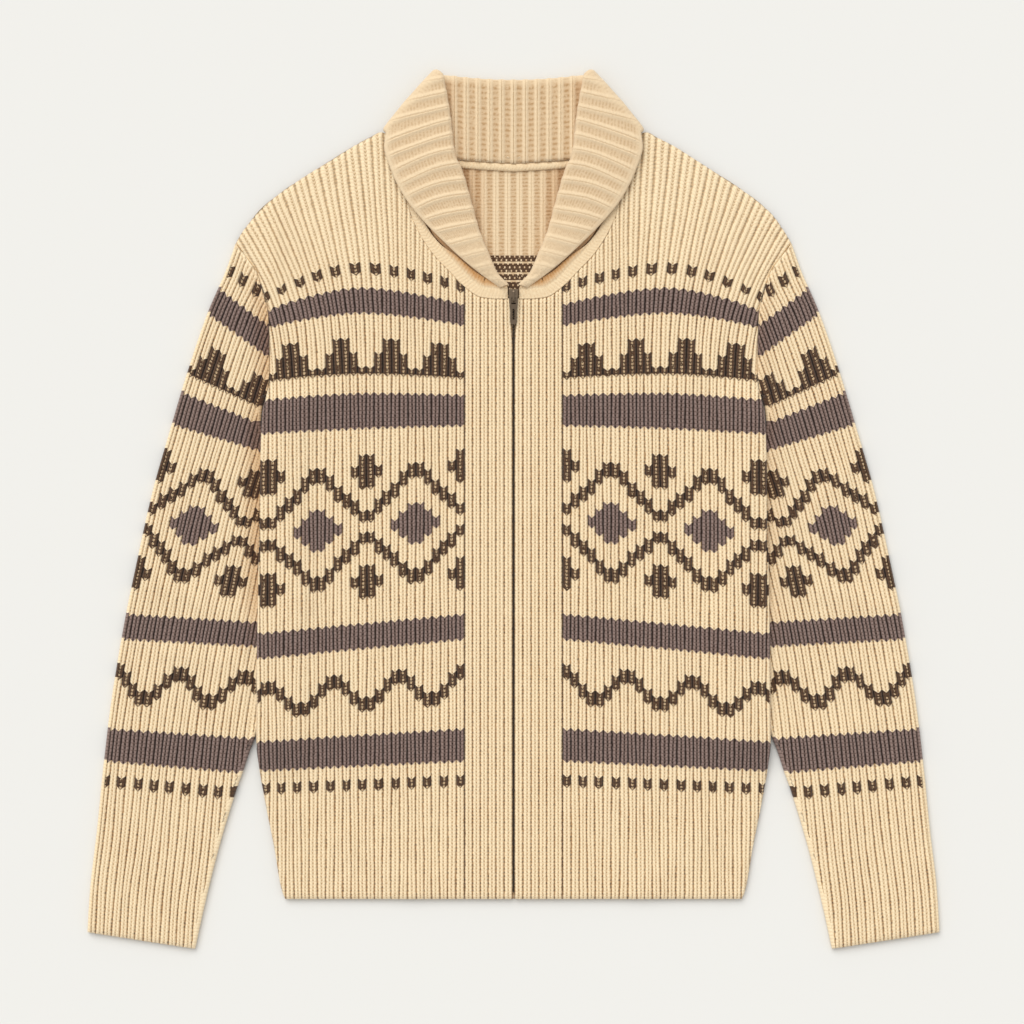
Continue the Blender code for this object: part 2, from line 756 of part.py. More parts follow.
back("back")
for WEARER, SIDE in (("right", -1), ("left", 1)):
    front(WEARER + "_front", SIDE)
    front_band(WEARER + "_front_band", SIDE)
    sleeve(WEARER + "_sleeve", SIDE)
    neck_edging(WEARER + "_neck_edging", SIDE)
collar("collar")
neck_tape("neck_tape")
zip_fastener()
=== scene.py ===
# %% [markdown]
# # A zipped rib-knit cardigan, laid flat
# A cardigan like this is knitted in flat pieces, sewn together and closed with a zip. The packed solids
# give each piece its place and outline. Here every piece gets its stitches: real relief for the ribs, and a
# material that colours each stitch from the rib and the row that it belongs to. The first cell loads the
# solids.

# %% Load the solids
import math
from collections import namedtuple

import bpy
import numpy as np
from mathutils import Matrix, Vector


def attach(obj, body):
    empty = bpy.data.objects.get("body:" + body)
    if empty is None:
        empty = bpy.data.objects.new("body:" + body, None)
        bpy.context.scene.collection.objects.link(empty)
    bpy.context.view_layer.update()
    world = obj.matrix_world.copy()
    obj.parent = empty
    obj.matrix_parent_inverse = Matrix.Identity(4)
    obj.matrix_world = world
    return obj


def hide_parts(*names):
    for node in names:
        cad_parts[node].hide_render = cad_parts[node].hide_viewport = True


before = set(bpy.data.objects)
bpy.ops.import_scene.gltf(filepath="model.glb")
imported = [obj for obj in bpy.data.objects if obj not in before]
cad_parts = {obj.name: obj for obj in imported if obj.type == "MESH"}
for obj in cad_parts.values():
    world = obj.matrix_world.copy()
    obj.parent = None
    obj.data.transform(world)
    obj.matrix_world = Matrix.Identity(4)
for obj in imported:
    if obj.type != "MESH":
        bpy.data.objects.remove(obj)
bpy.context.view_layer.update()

MM = 0.001
print("nodes:", ", ".join(sorted(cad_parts)))

# %% [markdown]
# ## Sizes
# All sizes are in millimetres. The knit is a heavy half-cardigan rib: each rib is a pair of strands with a
# dotted trough between them, and a deep valley parts it from the next rib. A bump map alone would leave the
# cloth smooth from the side, so the ribs are in the mesh. `ACROSS` holds the places across one rib where it
# has a line of points, each with its height as a share of the relief.

# %% Sizes of the knit
WALL = 2.8
RIB_RISE = 1.6
VALLEY_DEPTH = 0.9
ROW = 3.3
RIB_PITCH = 7.5

HEM_Y = -359.0
UNDERARM_Y = 105.0
PANEL_X = 45.3
PANEL_MOST_X = 237.0

Across = namedtuple("Across", "place height dotted")
ACROSS = [
    Across(0.0, 0.0, 0.20),
    Across(0.10, 0.46, 0.10),
    Across(0.22, 0.96, 0.10),
    Across(0.36, 0.92, 0.10),
    Across(0.5, 0.46, 0.34),
    Across(0.64, 0.92, 0.10),
    Across(0.78, 0.96, 0.10),
    Across(0.90, 0.46, 0.10),
]
RELIEF = RIB_RISE + VALLEY_DEPTH
print("a rib stands", RELIEF, "mm over its valley, and has", len(ACROSS), "lines of points")

# %% [markdown]
# ## The outlines
# A knitter keeps a shape as rows of a pattern, and so does this file. A table has a row for each place
# along an edge of the garment, and holds one side only, since the other side mirrors it. The body's side
# and the shoulder come first. The other edges follow where they are needed. Curve objects could hold the
# edges too, but a table can be read at any height, by every panel that shares the edge.

# %% Side and shoulder
At = namedtuple("At", "place value")
BODY_SIDE = [
    At(-359, 210.5), At(-350, 213.9), At(-313, 220.3), At(-276, 227.7), At(-240, 234.0), At(-211, 236.9),
    At(-83, 235.0), At(60, 232.3), At(92, 230.6), At(105, 227.5), At(125, 225.0), At(179, 225.9),
    At(202, 231.4), At(219.4, 236.9), At(232, 246.0), At(245.2, 256.0),
]
SHOULDER = [
    At(122.5, 347.5), At(130.2, 343.6), At(141.2, 338.1), At(154.1, 330.7), At(183.5, 312.3),
    At(211.1, 293.9), At(234.1, 275.5), At(248.9, 257.1), At(256.0, 245.2),
]
print("the body's side has", len(BODY_SIDE), "places, and the shoulder", len(SHOULDER))

# %% [markdown]
# ## Soft folds
# A heavy knit that is smoothed out by hand still keeps a few soft ridges. A cloth simulation would give
# ridges of its own and wouldn't keep the photo's outline, so each ridge here is drawn as a line with a
# width and a height. `lifted` adds them up, and every layer of the cloth is lifted alike.

# %% Lines of the folds
Fold = namedtuple("Fold", "x0 y0 x1 y1 width height")
FOLDS = [
    Fold(-226, 52, -190, -78, 13, 1.7), Fold(-214, 186, -176, 104, 12, 1.2),
    Fold(-186, 262, -150, 196, 13, 0.9), Fold(220, 34, 197, -104, 15, 1.5),
    Fold(209, 198, 170, 128, 11, 1.1), Fold(176, 276, 158, 214, 14, 0.9),
    Fold(-338, -66, -262, -96, 12, 1.4), Fold(-316, -132, -262, -141, 9, 1.0),
    Fold(-298, 92, -262, 28, 12, 1.1), Fold(344, -88, 266, -72, 13, 1.5),
    Fold(304, 34, 262, -8, 11, 1.1), Fold(330, -196, 282, -214, 10, 0.9),
    Fold(-150, -300, -92, -350, 16, 1.0), Fold(118, -352, 172, -302, 15, 1.1),
    Fold(-120, -40, -84, -130, 18, 0.8), Fold(96, 96, 132, 10, 19, 0.9),
]


def lifted(x, y):
    """How far the folds lift the cloth at x, y."""
    total = 0 * x * y
    for fold in FOLDS:
        along_x, along_y = fold.x1 - fold.x0, fold.y1 - fold.y0
        share = ((x - fold.x0) * along_x + (y - fold.y0) * along_y) / (along_x**2 + along_y**2)
        share = np.clip(share, 0, 1)
        distance = np.hypot(x - fold.x0 - share * along_x, y - fold.y0 - share * along_y)
        total = total + fold.height * np.exp(-((distance / fold.width) ** 2))
    return total


print(len(FOLDS), "folds, the highest", max(fold.height for fold in FOLDS), "mm")

# %% [markdown]
# ## Curves through the tables
# `read` draws a smooth curve through a table that never overshoots its rows: a plain spline would bulge
# past them where an edge turns quickly. `edge_round` thins a panel at its edges, as a rolled edge of wool
# does, and `side_lift` raises the body's side where it lies on the sleeve.

# %% Read a table and round an edge
SIDE_LIFT = 7.2
LIFT_FROM_X, LIFT_RUN = 172.0, 34.0
LIFT_TOP_Y, LIFT_TOP_RUN = UNDERARM_Y + 20, 45.0
LIFT_FOOT_Y, LIFT_FOOT_RUN = -255.0, 48.0
ROLL_OFF = 6.0
EDGE_THINNEST = 0.4


def smooth(a):
    a = np.clip(a, 0.0, 1.0)
    return a * a * (3 - 2 * a)


def mix(a, b, share):
    return a + (b - a) * share


def read(table, place):
    places, values = np.array(table, float).T
    secants = np.diff(values) / np.diff(places)
    slopes = np.concatenate([secants[:1], np.zeros(len(secants) - 1), secants[-1:]])
    rising = secants[:-1] * secants[1:] > 0
    before, after = secants[:-1][rising], secants[1:][rising]
    slopes[1:-1][rising] = 2 * before * after / (before + after)
    i = np.clip(np.searchsorted(places, place, side="right") - 1, 0, len(places) - 2)
    span = places[i + 1] - places[i]
    a = np.clip((place - places[i]) / span, 0, 1)
    bend = (1 + 2 * a) * (1 - a) ** 2 * values[i] + a * a * (3 - 2 * a) * values[i + 1]
    lean = a * (1 - a) ** 2 * slopes[i] - a * a * (1 - a) * slopes[i + 1]
    return bend + lean * span


def edge_round(distance):
    a = np.clip(distance / ROLL_OFF, 0, 1)
    return EDGE_THINNEST + (1 - EDGE_THINNEST) * np.sqrt(1 - (1 - a) ** 2)


def side_lift(x, y):
    along = smooth((LIFT_TOP_Y - y) / LIFT_TOP_RUN) * smooth((y - LIFT_FOOT_Y) / LIFT_FOOT_RUN)
    return SIDE_LIFT * along * smooth((x - LIFT_FROM_X) / LIFT_RUN)


print("the body is", 2 * float(read(BODY_SIDE, -211.0)), "mm wide at most")

# %% [markdown]
# ## From grids to cloth
# A piece of cloth is a fine grid of points for its face and a coarse grid for its lining. A Solidify
# modifier would copy every rib to the inside and double the mesh, so `shell` joins the two grids round
# their rims instead. It drops the triangles that a cut edge has squeezed to nothing, and stores the rib and
# row of each point in a UV map named `knit`. A second UV map holds how much of the rib shows there, which
# also sets how much painted shade its troughs get, and how deep the painted warm shade between two layers
# of wool is. A tube, such as a sleeve, is joined at its two ends alone.

# %% Join a face and a lining
LINING_STEPS = (10, 8)


def stacked(*parts):
    """One grid of points, or of pairs, from grids of their parts."""
    return np.stack(np.broadcast_arrays(*parts), axis=-1)


def triangles(quads):
    return np.concatenate([quads[:, [0, 1, 2]], quads[:, [0, 2, 3]]])


def grid_quads(index):
    a, b, c, d = index[:-1, :-1], index[:-1, 1:], index[1:, 1:], index[1:, :-1]
    return np.stack([a, b, c, d], axis=-1).reshape(-1, 4)


def thinned(count, step):
    return np.unique(np.append(np.arange(0, count, step), count - 1))


def shell(name, face, lining, knit, finish=None, knit_inside=None, lining_steps=LINING_STEPS, tube=False):
    if finish is None:
        finish = stacked(1.0, 0 * face[..., 0])
    knit_inside = knit if knit_inside is None else knit_inside
    rows, columns = face.shape[:2]
    row_pick, column_pick = thinned(rows, lining_steps[0]), thinned(columns, lining_steps[1])
    picked = np.ix_(row_pick, column_pick)
    inside = lining[picked]
    outer = np.arange(rows * columns).reshape(rows, columns)
    inner = rows * columns + np.arange(inside[..., 0].size).reshape(inside.shape[:2])
    near_rows = np.searchsorted(row_pick, np.arange(rows), side="right") - 1
    near_columns = np.searchsorted(column_pick, np.arange(columns), side="right") - 1

    def rim(fine, coarse, near):
        return np.stack([fine[:-1], coarse[near[:-1]], coarse[near[1:]], fine[1:]], axis=-1)

    parts = [grid_quads(outer), grid_quads(inner)[:, ::-1]]
    parts += [rim(outer[0], inner[0], near_columns), rim(outer[-1], inner[-1], near_columns)[:, ::-1]]
    if not tube:
        parts.append(rim(outer[:, 0], inner[:, 0], near_rows)[:, ::-1])
        parts.append(rim(outer[:, -1], inner[:, -1], near_rows))
    points = np.concatenate([face.reshape(-1, 3), inside.reshape(-1, 3)])
    stored = {
        "knit": np.concatenate([knit.reshape(-1, 2), knit_inside[picked].reshape(-1, 2)]),
        "finish": np.concatenate([finish.reshape(-1, 2), finish[picked].reshape(-1, 2)]),
    }
    faces = triangles(np.concatenate(parts))
    _, first, back = np.unique(np.round(points, 3), axis=0, return_index=True, return_inverse=True)
    merged = back.reshape(-1)[faces]
    whole = (merged != np.roll(merged, 1, axis=1)).all(axis=1)
    merged, faces = merged[whole], faces[whole]
    mesh = bpy.data.meshes.new(name)
    mesh.vertices.add(len(first))
    mesh.vertices.foreach_set("co", (points[first] * MM).ravel())
    mesh.loops.add(merged.size)
    mesh.loops.foreach_set("vertex_index", merged.ravel())
    mesh.polygons.add(len(merged))
    mesh.polygons.foreach_set("loop_start", np.arange(0, merged.size, 3))
    mesh.update(calc_edges=True)
    for map_name, values in stored.items():
        layer = mesh.uv_layers.new(name=map_name)
        layer.uv.foreach_set("vector", values[faces].reshape(-1, 2).ravel())
    mesh.polygons.foreach_set("material_index", (faces >= outer.size).all(axis=1).astype(np.int32))
    mesh.validate()
    mesh.shade_smooth()
    piece = bpy.data.objects.new(name, mesh)
    bpy.context.scene.collection.objects.link(piece)
    if signed_volume(mesh) < 0:
        mesh.flip_normals()
    print(f"{name}: {len(mesh.polygons)} triangles, {signed_volume(mesh) * 1e6:.0f} cm3")
    return piece


def signed_volume(mesh):
    points = np.empty(len(mesh.vertices) * 3)
    mesh.vertices.foreach_get("co", points)
    corners = np.empty(len(mesh.loops), int)
    mesh.loops.foreach_get("vertex_index", corners)
    a, b, c = points.reshape(-1, 3)[corners.reshape(-1, 3)].transpose(1, 0, 2)
    return float(np.einsum("ij,ij->i", a, np.cross(b, c)).sum() / 6)


print("a lining has one point for", LINING_STEPS[0] * LINING_STEPS[1], "of its face")

# %% [markdown]
# ## The rib
# A knitted stitch is a small V, and a rib is a column of them. Modelling each loop of yarn would take
# millions of faces, so the rib is a relief. `rib_lines` gives the lines of points across some ribs, and
# `rib_relief` the height of the knit at each: high on the two strands, lower and dotted between them, and
# lowest in the valley. Each stitch dips by `V_DIP` rows at the middle of its rib, so that a change of
# colour runs in small Vs.

# %% Lines and height of a rib
V_DIP = 0.95
STEPS_A_ROW = 2


def rib_lines(start, end, pitch):
    """u, in ribs from the start, of each line of points."""
    count = math.ceil((end - start) / pitch)
    u = np.array([k + line.place for k in range(count) for line in ACROSS] + [count], float)
    return u[u <= (end - start) / pitch + 1e-6]


def across(u, field):
    """A column of ACROSS at a place u across the ribs."""
    places = [line.place for line in ACROSS] + [1.0]
    values = [getattr(line, field) for line in ACROSS] + [getattr(ACROSS[0], field)]
    return np.interp(u - np.floor(u), places, values)


def rib_relief(u, row):
    """Height over the valleys, as a share of the relief, with the dots of each row."""
    dots = across(u, "dotted") * (0.5 - 0.5 * np.cos(2 * np.pi * row))
    sway = 0.05 * np.sin(row * 0.9 + np.floor(u) * 2.4) * (across(u, "height") > 0.6)
    return across(u, "height") - dots + sway


def uneven(u, row):
    """How far the ribs wander sideways, in mm, as knitted wool does when it is laid out by hand."""
    wander = 0.55 * np.sin(0.8 * u + 0.055 * row) + 0.24 * np.sin(2.1 * u - 0.17 * row + 1.3)
    own = 0.13 * np.sin(0.33 * row + 1.7 * np.floor(u)) * (u - np.floor(u) > 0.05)
    return wander + own


def v_dip(u):
    return V_DIP * (1 - np.abs(2 * (u - np.floor(u)) - 1)) ** 1.2


ROW_STEP = 1 / STEPS_A_ROW
print("a row of stitches is", ROW, "mm high and has", STEPS_A_ROW, "lines of points")

# %% [markdown]
# ## How the knit runs
# Cloth that is sewn into a garment doesn't keep its stitches square. The ribs of the body run plumb from
# the hem to the underarm, and lean out into the shoulder above it. The rows sag towards the side and
# towards the band. These tables say how far, at each height. Straight rows would be simpler, but they would
# look printed on.

# %% Lean and sag
RIB_FAN = [
    At(105, 0.0), At(140, 2.0), At(170, 7.0), At(205, 21.0), At(240, 44.0), At(290, 82.0), At(348, 122.0),
]
SAG_TO_SIDE = [
    At(-359, 0.0), At(-300, 4.0), At(-225, 9.5), At(-110, 18.0), At(0, 15.0), At(90, 9.0), At(140, 8.0),
    At(215, 24.0), At(300, 42.0),
]
SAG_TO_BAND = [At(60, 0.0), At(140, 5.5), At(215, 17.0), At(300, 28.0)]
CROWN_X = 140.0
CHEST_FAN_X = 98.0
FAN_POWER = 1.35
print("the ribs lean out by", RIB_FAN[-1].value, "mm at the shoulder")

# %% [markdown]
# ## The body's grid
# The side, the armhole and the shoulder cut across the ribs, as shears would. Cutting a mesh with a Boolean
# leaves ragged triangles, so the points past a cut all move onto it.

# %% Cut the ribs to the outline
FAN_LIMIT = 1.2
SAG_POWER = 1.6
SAG_TURN_Y, SAG_TURN_RUN = 60.0, 80.0
BAND_SAG_REACH = 95.0
TOP_STEPS, TOP_DAMPING = 30, 0.4
CUT_MARGIN = 0.4


def fanned(x, y):
    share = (x - CHEST_FAN_X) / (read(BODY_SIDE, UNDERARM_Y) - CHEST_FAN_X)
    return x + read(RIB_FAN, y) * np.clip(share, 0, FAN_LIMIT) ** FAN_POWER


def row_sag(x, y):
    to_side = np.clip((x - PANEL_X) / (PANEL_MOST_X - PANEL_X), 0, 1)
    past_crown = np.clip((x - CROWN_X) / (PANEL_MOST_X - CROWN_X), 0, 1)
    side_share = mix(to_side, past_crown**SAG_POWER, smooth((y - SAG_TURN_Y) / SAG_TURN_RUN))
    band_share = np.clip((CROWN_X - x) / BAND_SAG_REACH, 0, 1) ** SAG_POWER
    return read(SAG_TO_SIDE, y) * side_share + read(SAG_TO_BAND, y) * band_share


def body_grid(x, u, row, top_table, dip=True, wander=0.0):
    """x and y of each column and row of the body, with the distances to its side and to its top."""
    column_top = read(top_table, x)
    for _ in range(TOP_STEPS):
        out = np.minimum(fanned(x, column_top), read(BODY_SIDE, column_top))
        column_top = mix(column_top, read(top_table, out), TOP_DAMPING)
    level = HEM_Y + row * ROW
    y = level - (v_dip(u) * smooth(row / 3) if dip else 0) * ROW - row_sag(fanned(x, level), level)
    y = np.clip(y, HEM_Y, column_top)
    side = read(BODY_SIDE, y)
    out = fanned(x, y) + wander
    cut = out > side - CUT_MARGIN
    edge_y = np.clip(level - row_sag(read(BODY_SIDE, level), level), HEM_Y, SHOULDER[-1].value)
    y = np.where(cut, edge_y, y)
    out = np.where(cut, read(BODY_SIDE, y), out)
    return out, y, np.where(cut, 0, side - out), column_top - y


print("above the underarm the outermost rib leans to", round(float(fanned(227.5, 230.0))), "mm")

# %% [markdown]
# ## The fronts
# A front is one panel from the band's seam to the side. Its ribs end gathered where the neck edging covers
# them, and its side lies over the sleeve. `side` is -1 for the wearer's right and 1 for the left. A flat
# panel with ribs cut in by a modifier would be quicker to make. A grid made rib by rib keeps each rib whole
# from the hem to the shoulder, as knitting does.

# %% Make the fronts
FRONT_TOP = [
    At(0.0, 194.8), At(14.6, 194.8), At(29.9, 196.4), At(43.7, 205.0), At(58.9, 220.3), At(75.9, 239.0),
    At(92.9, 269.6), At(98.0, 290.0), At(103.4, 314.0), At(108.0, 333.0), At(113.0, 344.5),
] + SHOULDER
FRONT_UNDER = 3.9
FRONT_UNDER_AT_SIDE = 3.4
FRONT_SPARE_ROWS = 16
NECK_SIDE_X = 122
GATHERED_TO_X = 112
GATHER_DEPTH = 5


def front(name, side):
    u = rib_lines(PANEL_X, PANEL_MOST_X, RIB_PITCH)[None, :]
    row = np.arange(0, (SHOULDER[0].value - HEM_Y) / ROW + FRONT_SPARE_ROWS, ROW_STEP)[:, None]
    wander = side * uneven(u * side, row) * smooth(u / 2)
    x, y, to_side, to_top = body_grid(PANEL_X + u * RIB_PITCH, u, row, FRONT_TOP, wander=wander)
    under = mix(FRONT_UNDER, FRONT_UNDER_AT_SIDE, smooth(x / 200)) + side_lift(x, y)
    to_hem = y - HEM_Y
    open_edge = (y < UNDERARM_Y) | (x > NECK_SIDE_X)
    free = np.where(open_edge, np.minimum(np.minimum(to_side, to_hem), to_top), to_hem)
    gathered = np.where(x < GATHERED_TO_X, smooth((to_top + 0.4) / GATHER_DEPTH), 1.0)
    relief = rib_relief(u, row) * smooth((to_side + 0.5) / 3) * gathered
    height = (WALL - VALLEY_DEPTH + RELIEF * relief) * edge_round(free)
    under = under + lifted(side * x, y)
    face, lining = stacked(side * x, y, under + height), stacked(side * x, y, under)
    return shell(name, face, lining, stacked(u, row))


fronts = [front("knit_front_right", -1), front("knit_front_left", 1)]

# %% [markdown]
# ## The front bands
# A band is a plain ribbed strip between the front and the zip. The zip is sewn behind it, so its inner edge
# rolls over the teeth, and it opens a little at the top, beside the slider. It is made from the same lines
# of points as the fronts, so that its stitches are of their size.

# %% Make the bands
BAND_RIBS = 6
BAND_INNER_X, BAND_OUTER_X = 1.9, 44.9
ZIP_GAP_HALF = 0.85
BAND_TOP_Y = 205
BAND_SPARE_ROWS = 3
ZIP_CLOSED_Y, ZIP_CLOSING_RUN = 176, 26
ZIP_EASE_WIDTH = 12


def front_band(name, side):
    pitch = (BAND_OUTER_X - BAND_INNER_X) / BAND_RIBS
    u = rib_lines(BAND_INNER_X, BAND_OUTER_X, pitch)[None, :]
    row = np.arange(0, (BAND_TOP_Y - HEM_Y) / ROW + BAND_SPARE_ROWS, ROW_STEP)[:, None]
    x = BAND_INNER_X + u * pitch
    y = np.clip(HEM_Y + (row - v_dip(u) * smooth(row / 3)) * ROW, HEM_Y, read(FRONT_TOP, x))
    free = np.minimum(y - HEM_Y, (x - BAND_INNER_X) * 3)
    gathered = smooth((read(FRONT_TOP, x) - y + 0.4) / GATHER_DEPTH)
    height = (WALL - VALLEY_DEPTH + RELIEF * rib_relief(u, row) * gathered) * edge_round(free)
    closed = smooth((ZIP_CLOSED_Y - y) / ZIP_CLOSING_RUN)
    beside_zip = np.clip(1 - u * pitch / ZIP_EASE_WIDTH, 0, 1) * closed
    x = x - (BAND_INNER_X - ZIP_GAP_HALF) * beside_zip
    face, lining = stacked(side * x, y, FRONT_UNDER + height), stacked(side * x, y, FRONT_UNDER)
    return shell(name, face, lining, stacked(u, row))


bands = [front_band("knit_band_right", -1), front_band("knit_band_left", 1)]

# %% [markdown]
# ## The sleeves
# A sleeve is a flat tube. Two flat panels laid together would show a cut edge at the folds, so the face is
# one strip that runs from the inner fold, along the floor to the outer fold, and back over the top. There
# the ribs are counted from the outer fold, and the inner fold cuts them. This cell finds the edges of the
# tube. The cuff lies tilted, so near it the inner edge is read further down.

# %% Find the sleeve's edges
SLEEVE_OUTER = [
    At(-390, 393.0), At(-350, 390.5), At(-295, 384.1), At(-240, 378.6), At(-185, 372.1), At(-111, 360.2),
    At(-56, 349.1), At(18, 332.6), At(73, 316.9), At(128, 300.4), At(184, 281.1), At(220, 265.4),
    At(239, 258.6), At(245.2, 256.4),
]
SLEEVE_INNER = [
    At(-405, 293.5), At(-369, 285.7), At(-313, 271.9), At(-258, 255.3), At(-240, 248.9), At(-221, 242.5),
    At(-205, 236.0), At(-180, 226.0), At(-150, 217.0), At(-110, 211.0), At(-50, 209.0), At(0, 212.0),
    At(40, 219.0), At(62, 227.0), At(80, 232.6), At(92, 231.7), At(105, 228.1),
]
CUFF_Y = -389.6
CUFF_TILT, CUFF_TILT_FROM_Y = 0.155, -100.0
ARMHOLE_SEAM = 0.12
SLEEVE_HOLLOW = 1.1
SLEEVE_FOLD = WALL + SLEEVE_HOLLOW / 2
LINING_STAYS_BACK = 0.6


def sleeve_tilt(at):
    return CUFF_TILT * smooth((CUFF_TILT_FROM_Y - at) / (CUFF_TILT_FROM_Y - CUFF_Y))


def sleeve_inner(at, outer_x):
    x = read(SLEEVE_INNER, at)
    for _ in range(4):
        x = read(SLEEVE_INNER, at - sleeve_tilt(at) * (outer_x - x))
    return np.where(at > UNDERARM_Y, read(BODY_SIDE, at) + ARMHOLE_SEAM, x)


def sleeve_edges(at):
    """The outer fold, the least x of the flat face, and the slope of the outer fold."""
    outer_x = read(SLEEVE_OUTER, at)
    inner_x = sleeve_inner(at, outer_x)
    lean = (read(SLEEVE_OUTER, at + 2) - read(SLEEVE_OUTER, at - 2)) / 4
    return outer_x, np.where(at > UNDERARM_Y, inner_x, inner_x + SLEEVE_FOLD), lean


def roundness(outer_x, least):
    """How much room the outer fold has to turn in."""
    return np.clip((outer_x - least) / (2 * SLEEVE_FOLD), 0, 1)


def inset(at, radius):
    """How far the lining stays back from the wall that closes the tube at the armhole."""
    return np.where(at > UNDERARM_Y, LINING_STAYS_BACK * (SLEEVE_FOLD - radius), 0.0)


print("the cuff is", float(read(SLEEVE_OUTER, CUFF_Y) - read(SLEEVE_INNER, CUFF_Y)), "mm wide")

# %% [markdown]
# ## The sleeve's rows
# Up the sleeve the rows fall more and more steeply from the outer fold to the inner edge. So each row
# starts at a level on the outer fold, and this cell finds how far down it ends and how wide it is on the
# way. Level rows would be simpler, but the stripes of this sleeve slope.

# %% Find the sleeve's rows
SLEEVE_ROW_FALL = [
    At(-390, 0.0), At(-200, 0.02), At(-100, 0.06), At(20, 0.16), At(120, 0.40), At(180, 0.60),
]
SLEEVE_TOP_Y = 244.8
SLEEVE_SPARE_ROWS = 18
SLEEVE_ROW = np.arange(0, (SLEEVE_TOP_Y - CUFF_Y) / ROW + SLEEVE_SPARE_ROWS, ROW_STEP)[:, None]
SLEEVE_LEVEL = CUFF_Y + SLEEVE_ROW * ROW
SLEEVE_FALL = read(SLEEVE_ROW_FALL, SLEEVE_LEVEL)


def sleeve_rows():
    """The y at which each row ends at the inner edge, and its width."""
    end_y = SLEEVE_LEVEL
    for _ in range(6):
        outer_x, least, lean = sleeve_edges(end_y)
        width = np.maximum(outer_x - least, 0) / np.hypot(1, lean)
        end_y = np.clip(SLEEVE_LEVEL - SLEEVE_FALL * width, CUFF_Y, SLEEVE_TOP_Y)
    return end_y, width


ROW_END_Y, ROW_WIDTH = sleeve_rows()
print("the sleeve's widest row is", round(float(ROW_WIDTH.max())), "mm")

# %% [markdown]
# ## The parts of the strip
# Each row of the strip has five parts: it is tucked in under the armhole, laid along the floor, folded
# round, laid over the top and tucked in at the armhole again. Rows above the underarm end in a plain wall,
# where the armhole's seam is.

# %% Tuck, fold and lay the strip
SLEEVE_RIB_PITCH = 7.4
CUFF_RIBS_BELOW_Y = -215
SHEER_TO_ANGLE = 35


def tucked(degrees, radius):
    turn = np.radians(degrees)[None, :]
    outer_x, least, _ = sleeve_edges(ROW_END_Y)
    armhole = ROW_END_Y > UNDERARM_Y
    wall = np.minimum(least + inset(ROW_END_Y, radius), outer_x - SLEEVE_FOLD * roundness(outer_x, least))
    x = np.where(armhole, wall, least - radius * np.cos(turn))
    sheer = np.where(armhole, np.clip(degrees / SHEER_TO_ANGLE, -1, 1), np.sin(turn))
    return x, ROW_END_Y + 0 * x, SLEEVE_FOLD + radius * sheer


def folded(degrees, radius):
    turn = np.radians(degrees)[None, :]
    at = np.minimum(SLEEVE_LEVEL, SLEEVE_TOP_Y)
    outer_x, least, _ = sleeve_edges(at)
    x = outer_x - roundness(outer_x, least) * (SLEEVE_FOLD - radius * np.cos(turn))
    return x, at + 0 * turn, SLEEVE_FOLD + radius * np.sin(turn) + 0 * at


def sleeve_rib_share(x, y):
    from_body = x - read(BODY_SIDE, y)
    beside = np.where(y < CUFF_RIBS_BELOW_Y, 1.0, smooth((from_body - 5) / 6))
    return np.where(y > UNDERARM_Y, mix(0.4, 1.0, smooth(from_body / 6)), beside)


def laid(u, radius, up, ribbed, side):
    """The flat part over the top (up is 1) or along the floor (up is -1)."""
    to_end = smooth((ROW_WIDTH / SLEEVE_RIB_PITCH - u) / 2)
    wander = side * uneven(u * side, SLEEVE_ROW) * smooth(u / 2) * to_end
    out = np.minimum(u * SLEEVE_RIB_PITCH + wander, ROW_WIDTH)
    whole = ROW_WIDTH - out > 0.4
    dip = v_dip(u) * ROW * smooth(SLEEVE_ROW / 3) * whole * (up > 0)
    at = np.where(whole, np.clip(SLEEVE_LEVEL - dip - SLEEVE_FALL * out, CUFF_Y, SLEEVE_TOP_Y), ROW_END_Y)
    outer_x, least, lean = sleeve_edges(at)
    most = outer_x - SLEEVE_FOLD * roundness(outer_x, least)
    least = np.minimum(least + inset(at, radius), most)
    x = np.where(whole, np.clip(outer_x - out * np.hypot(1, lean), least, most), least)
    z = SLEEVE_FOLD + radius * up + 0 * x
    if ribbed and up > 0:
        relief = rib_relief(u, SLEEVE_ROW) * sleeve_rib_share(x, at)
        z = z + (RELIEF * relief - VALLEY_DEPTH) * smooth((x - least) / 4)
    if ribbed and up < 0:
        z = z + 0.5 * (1 - across(u, "height")) * whole
    return x, at, z


print(len(SLEEVE_ROW), "lines of points go up the sleeve")

# %% [markdown]
# ## The sleeve itself
# The parts are joined side by side, the cuff's rows are tilted, and the folds lift the cloth. Where the
# sleeve turns down beside the body the wool looks warmer, because light gets there off the wool of the body,
# and this is painted into its colour as a warm shade. That painted shade is deeper on the wearer's right
# (-1) than on the left (1).

# %% Make the sleeves
SEAM_SHADE = {-1: 0.48, 1: 0.22}
SEAM_SHADE_REACH = 23.0
SEAM_SHADE_FOOT_Y, SEAM_SHADE_TOP_Y = -150.0, 238.0
SLEEVE_MOST_WIDTH = 150
TUCK_UNDER_ANGLES = [-1e-6, -35, -65]
FOLD_ANGLES = [-90, -55, -20, 15, 50, 75]
TUCK_OVER_ANGLES = [65, 35, 1e-6]
FOLD_RIB = -0.25
OVER_RIBS = rib_lines(0, SLEEVE_MOST_WIDTH, SLEEVE_RIB_PITCH)
UNDER_RIBS = OVER_RIBS[::-2]


def sleeve_shade(points, side):
    x, y = np.abs(points[..., 0]), points[..., 1]
    near = smooth(1 - (x - read(BODY_SIDE, y)) / SEAM_SHADE_REACH) * (points[..., 2] > SLEEVE_FOLD)
    along = smooth((y - SEAM_SHADE_FOOT_Y) / 90) * smooth((SEAM_SHADE_TOP_Y - y) / 60)
    return SEAM_SHADE[side] * near * along


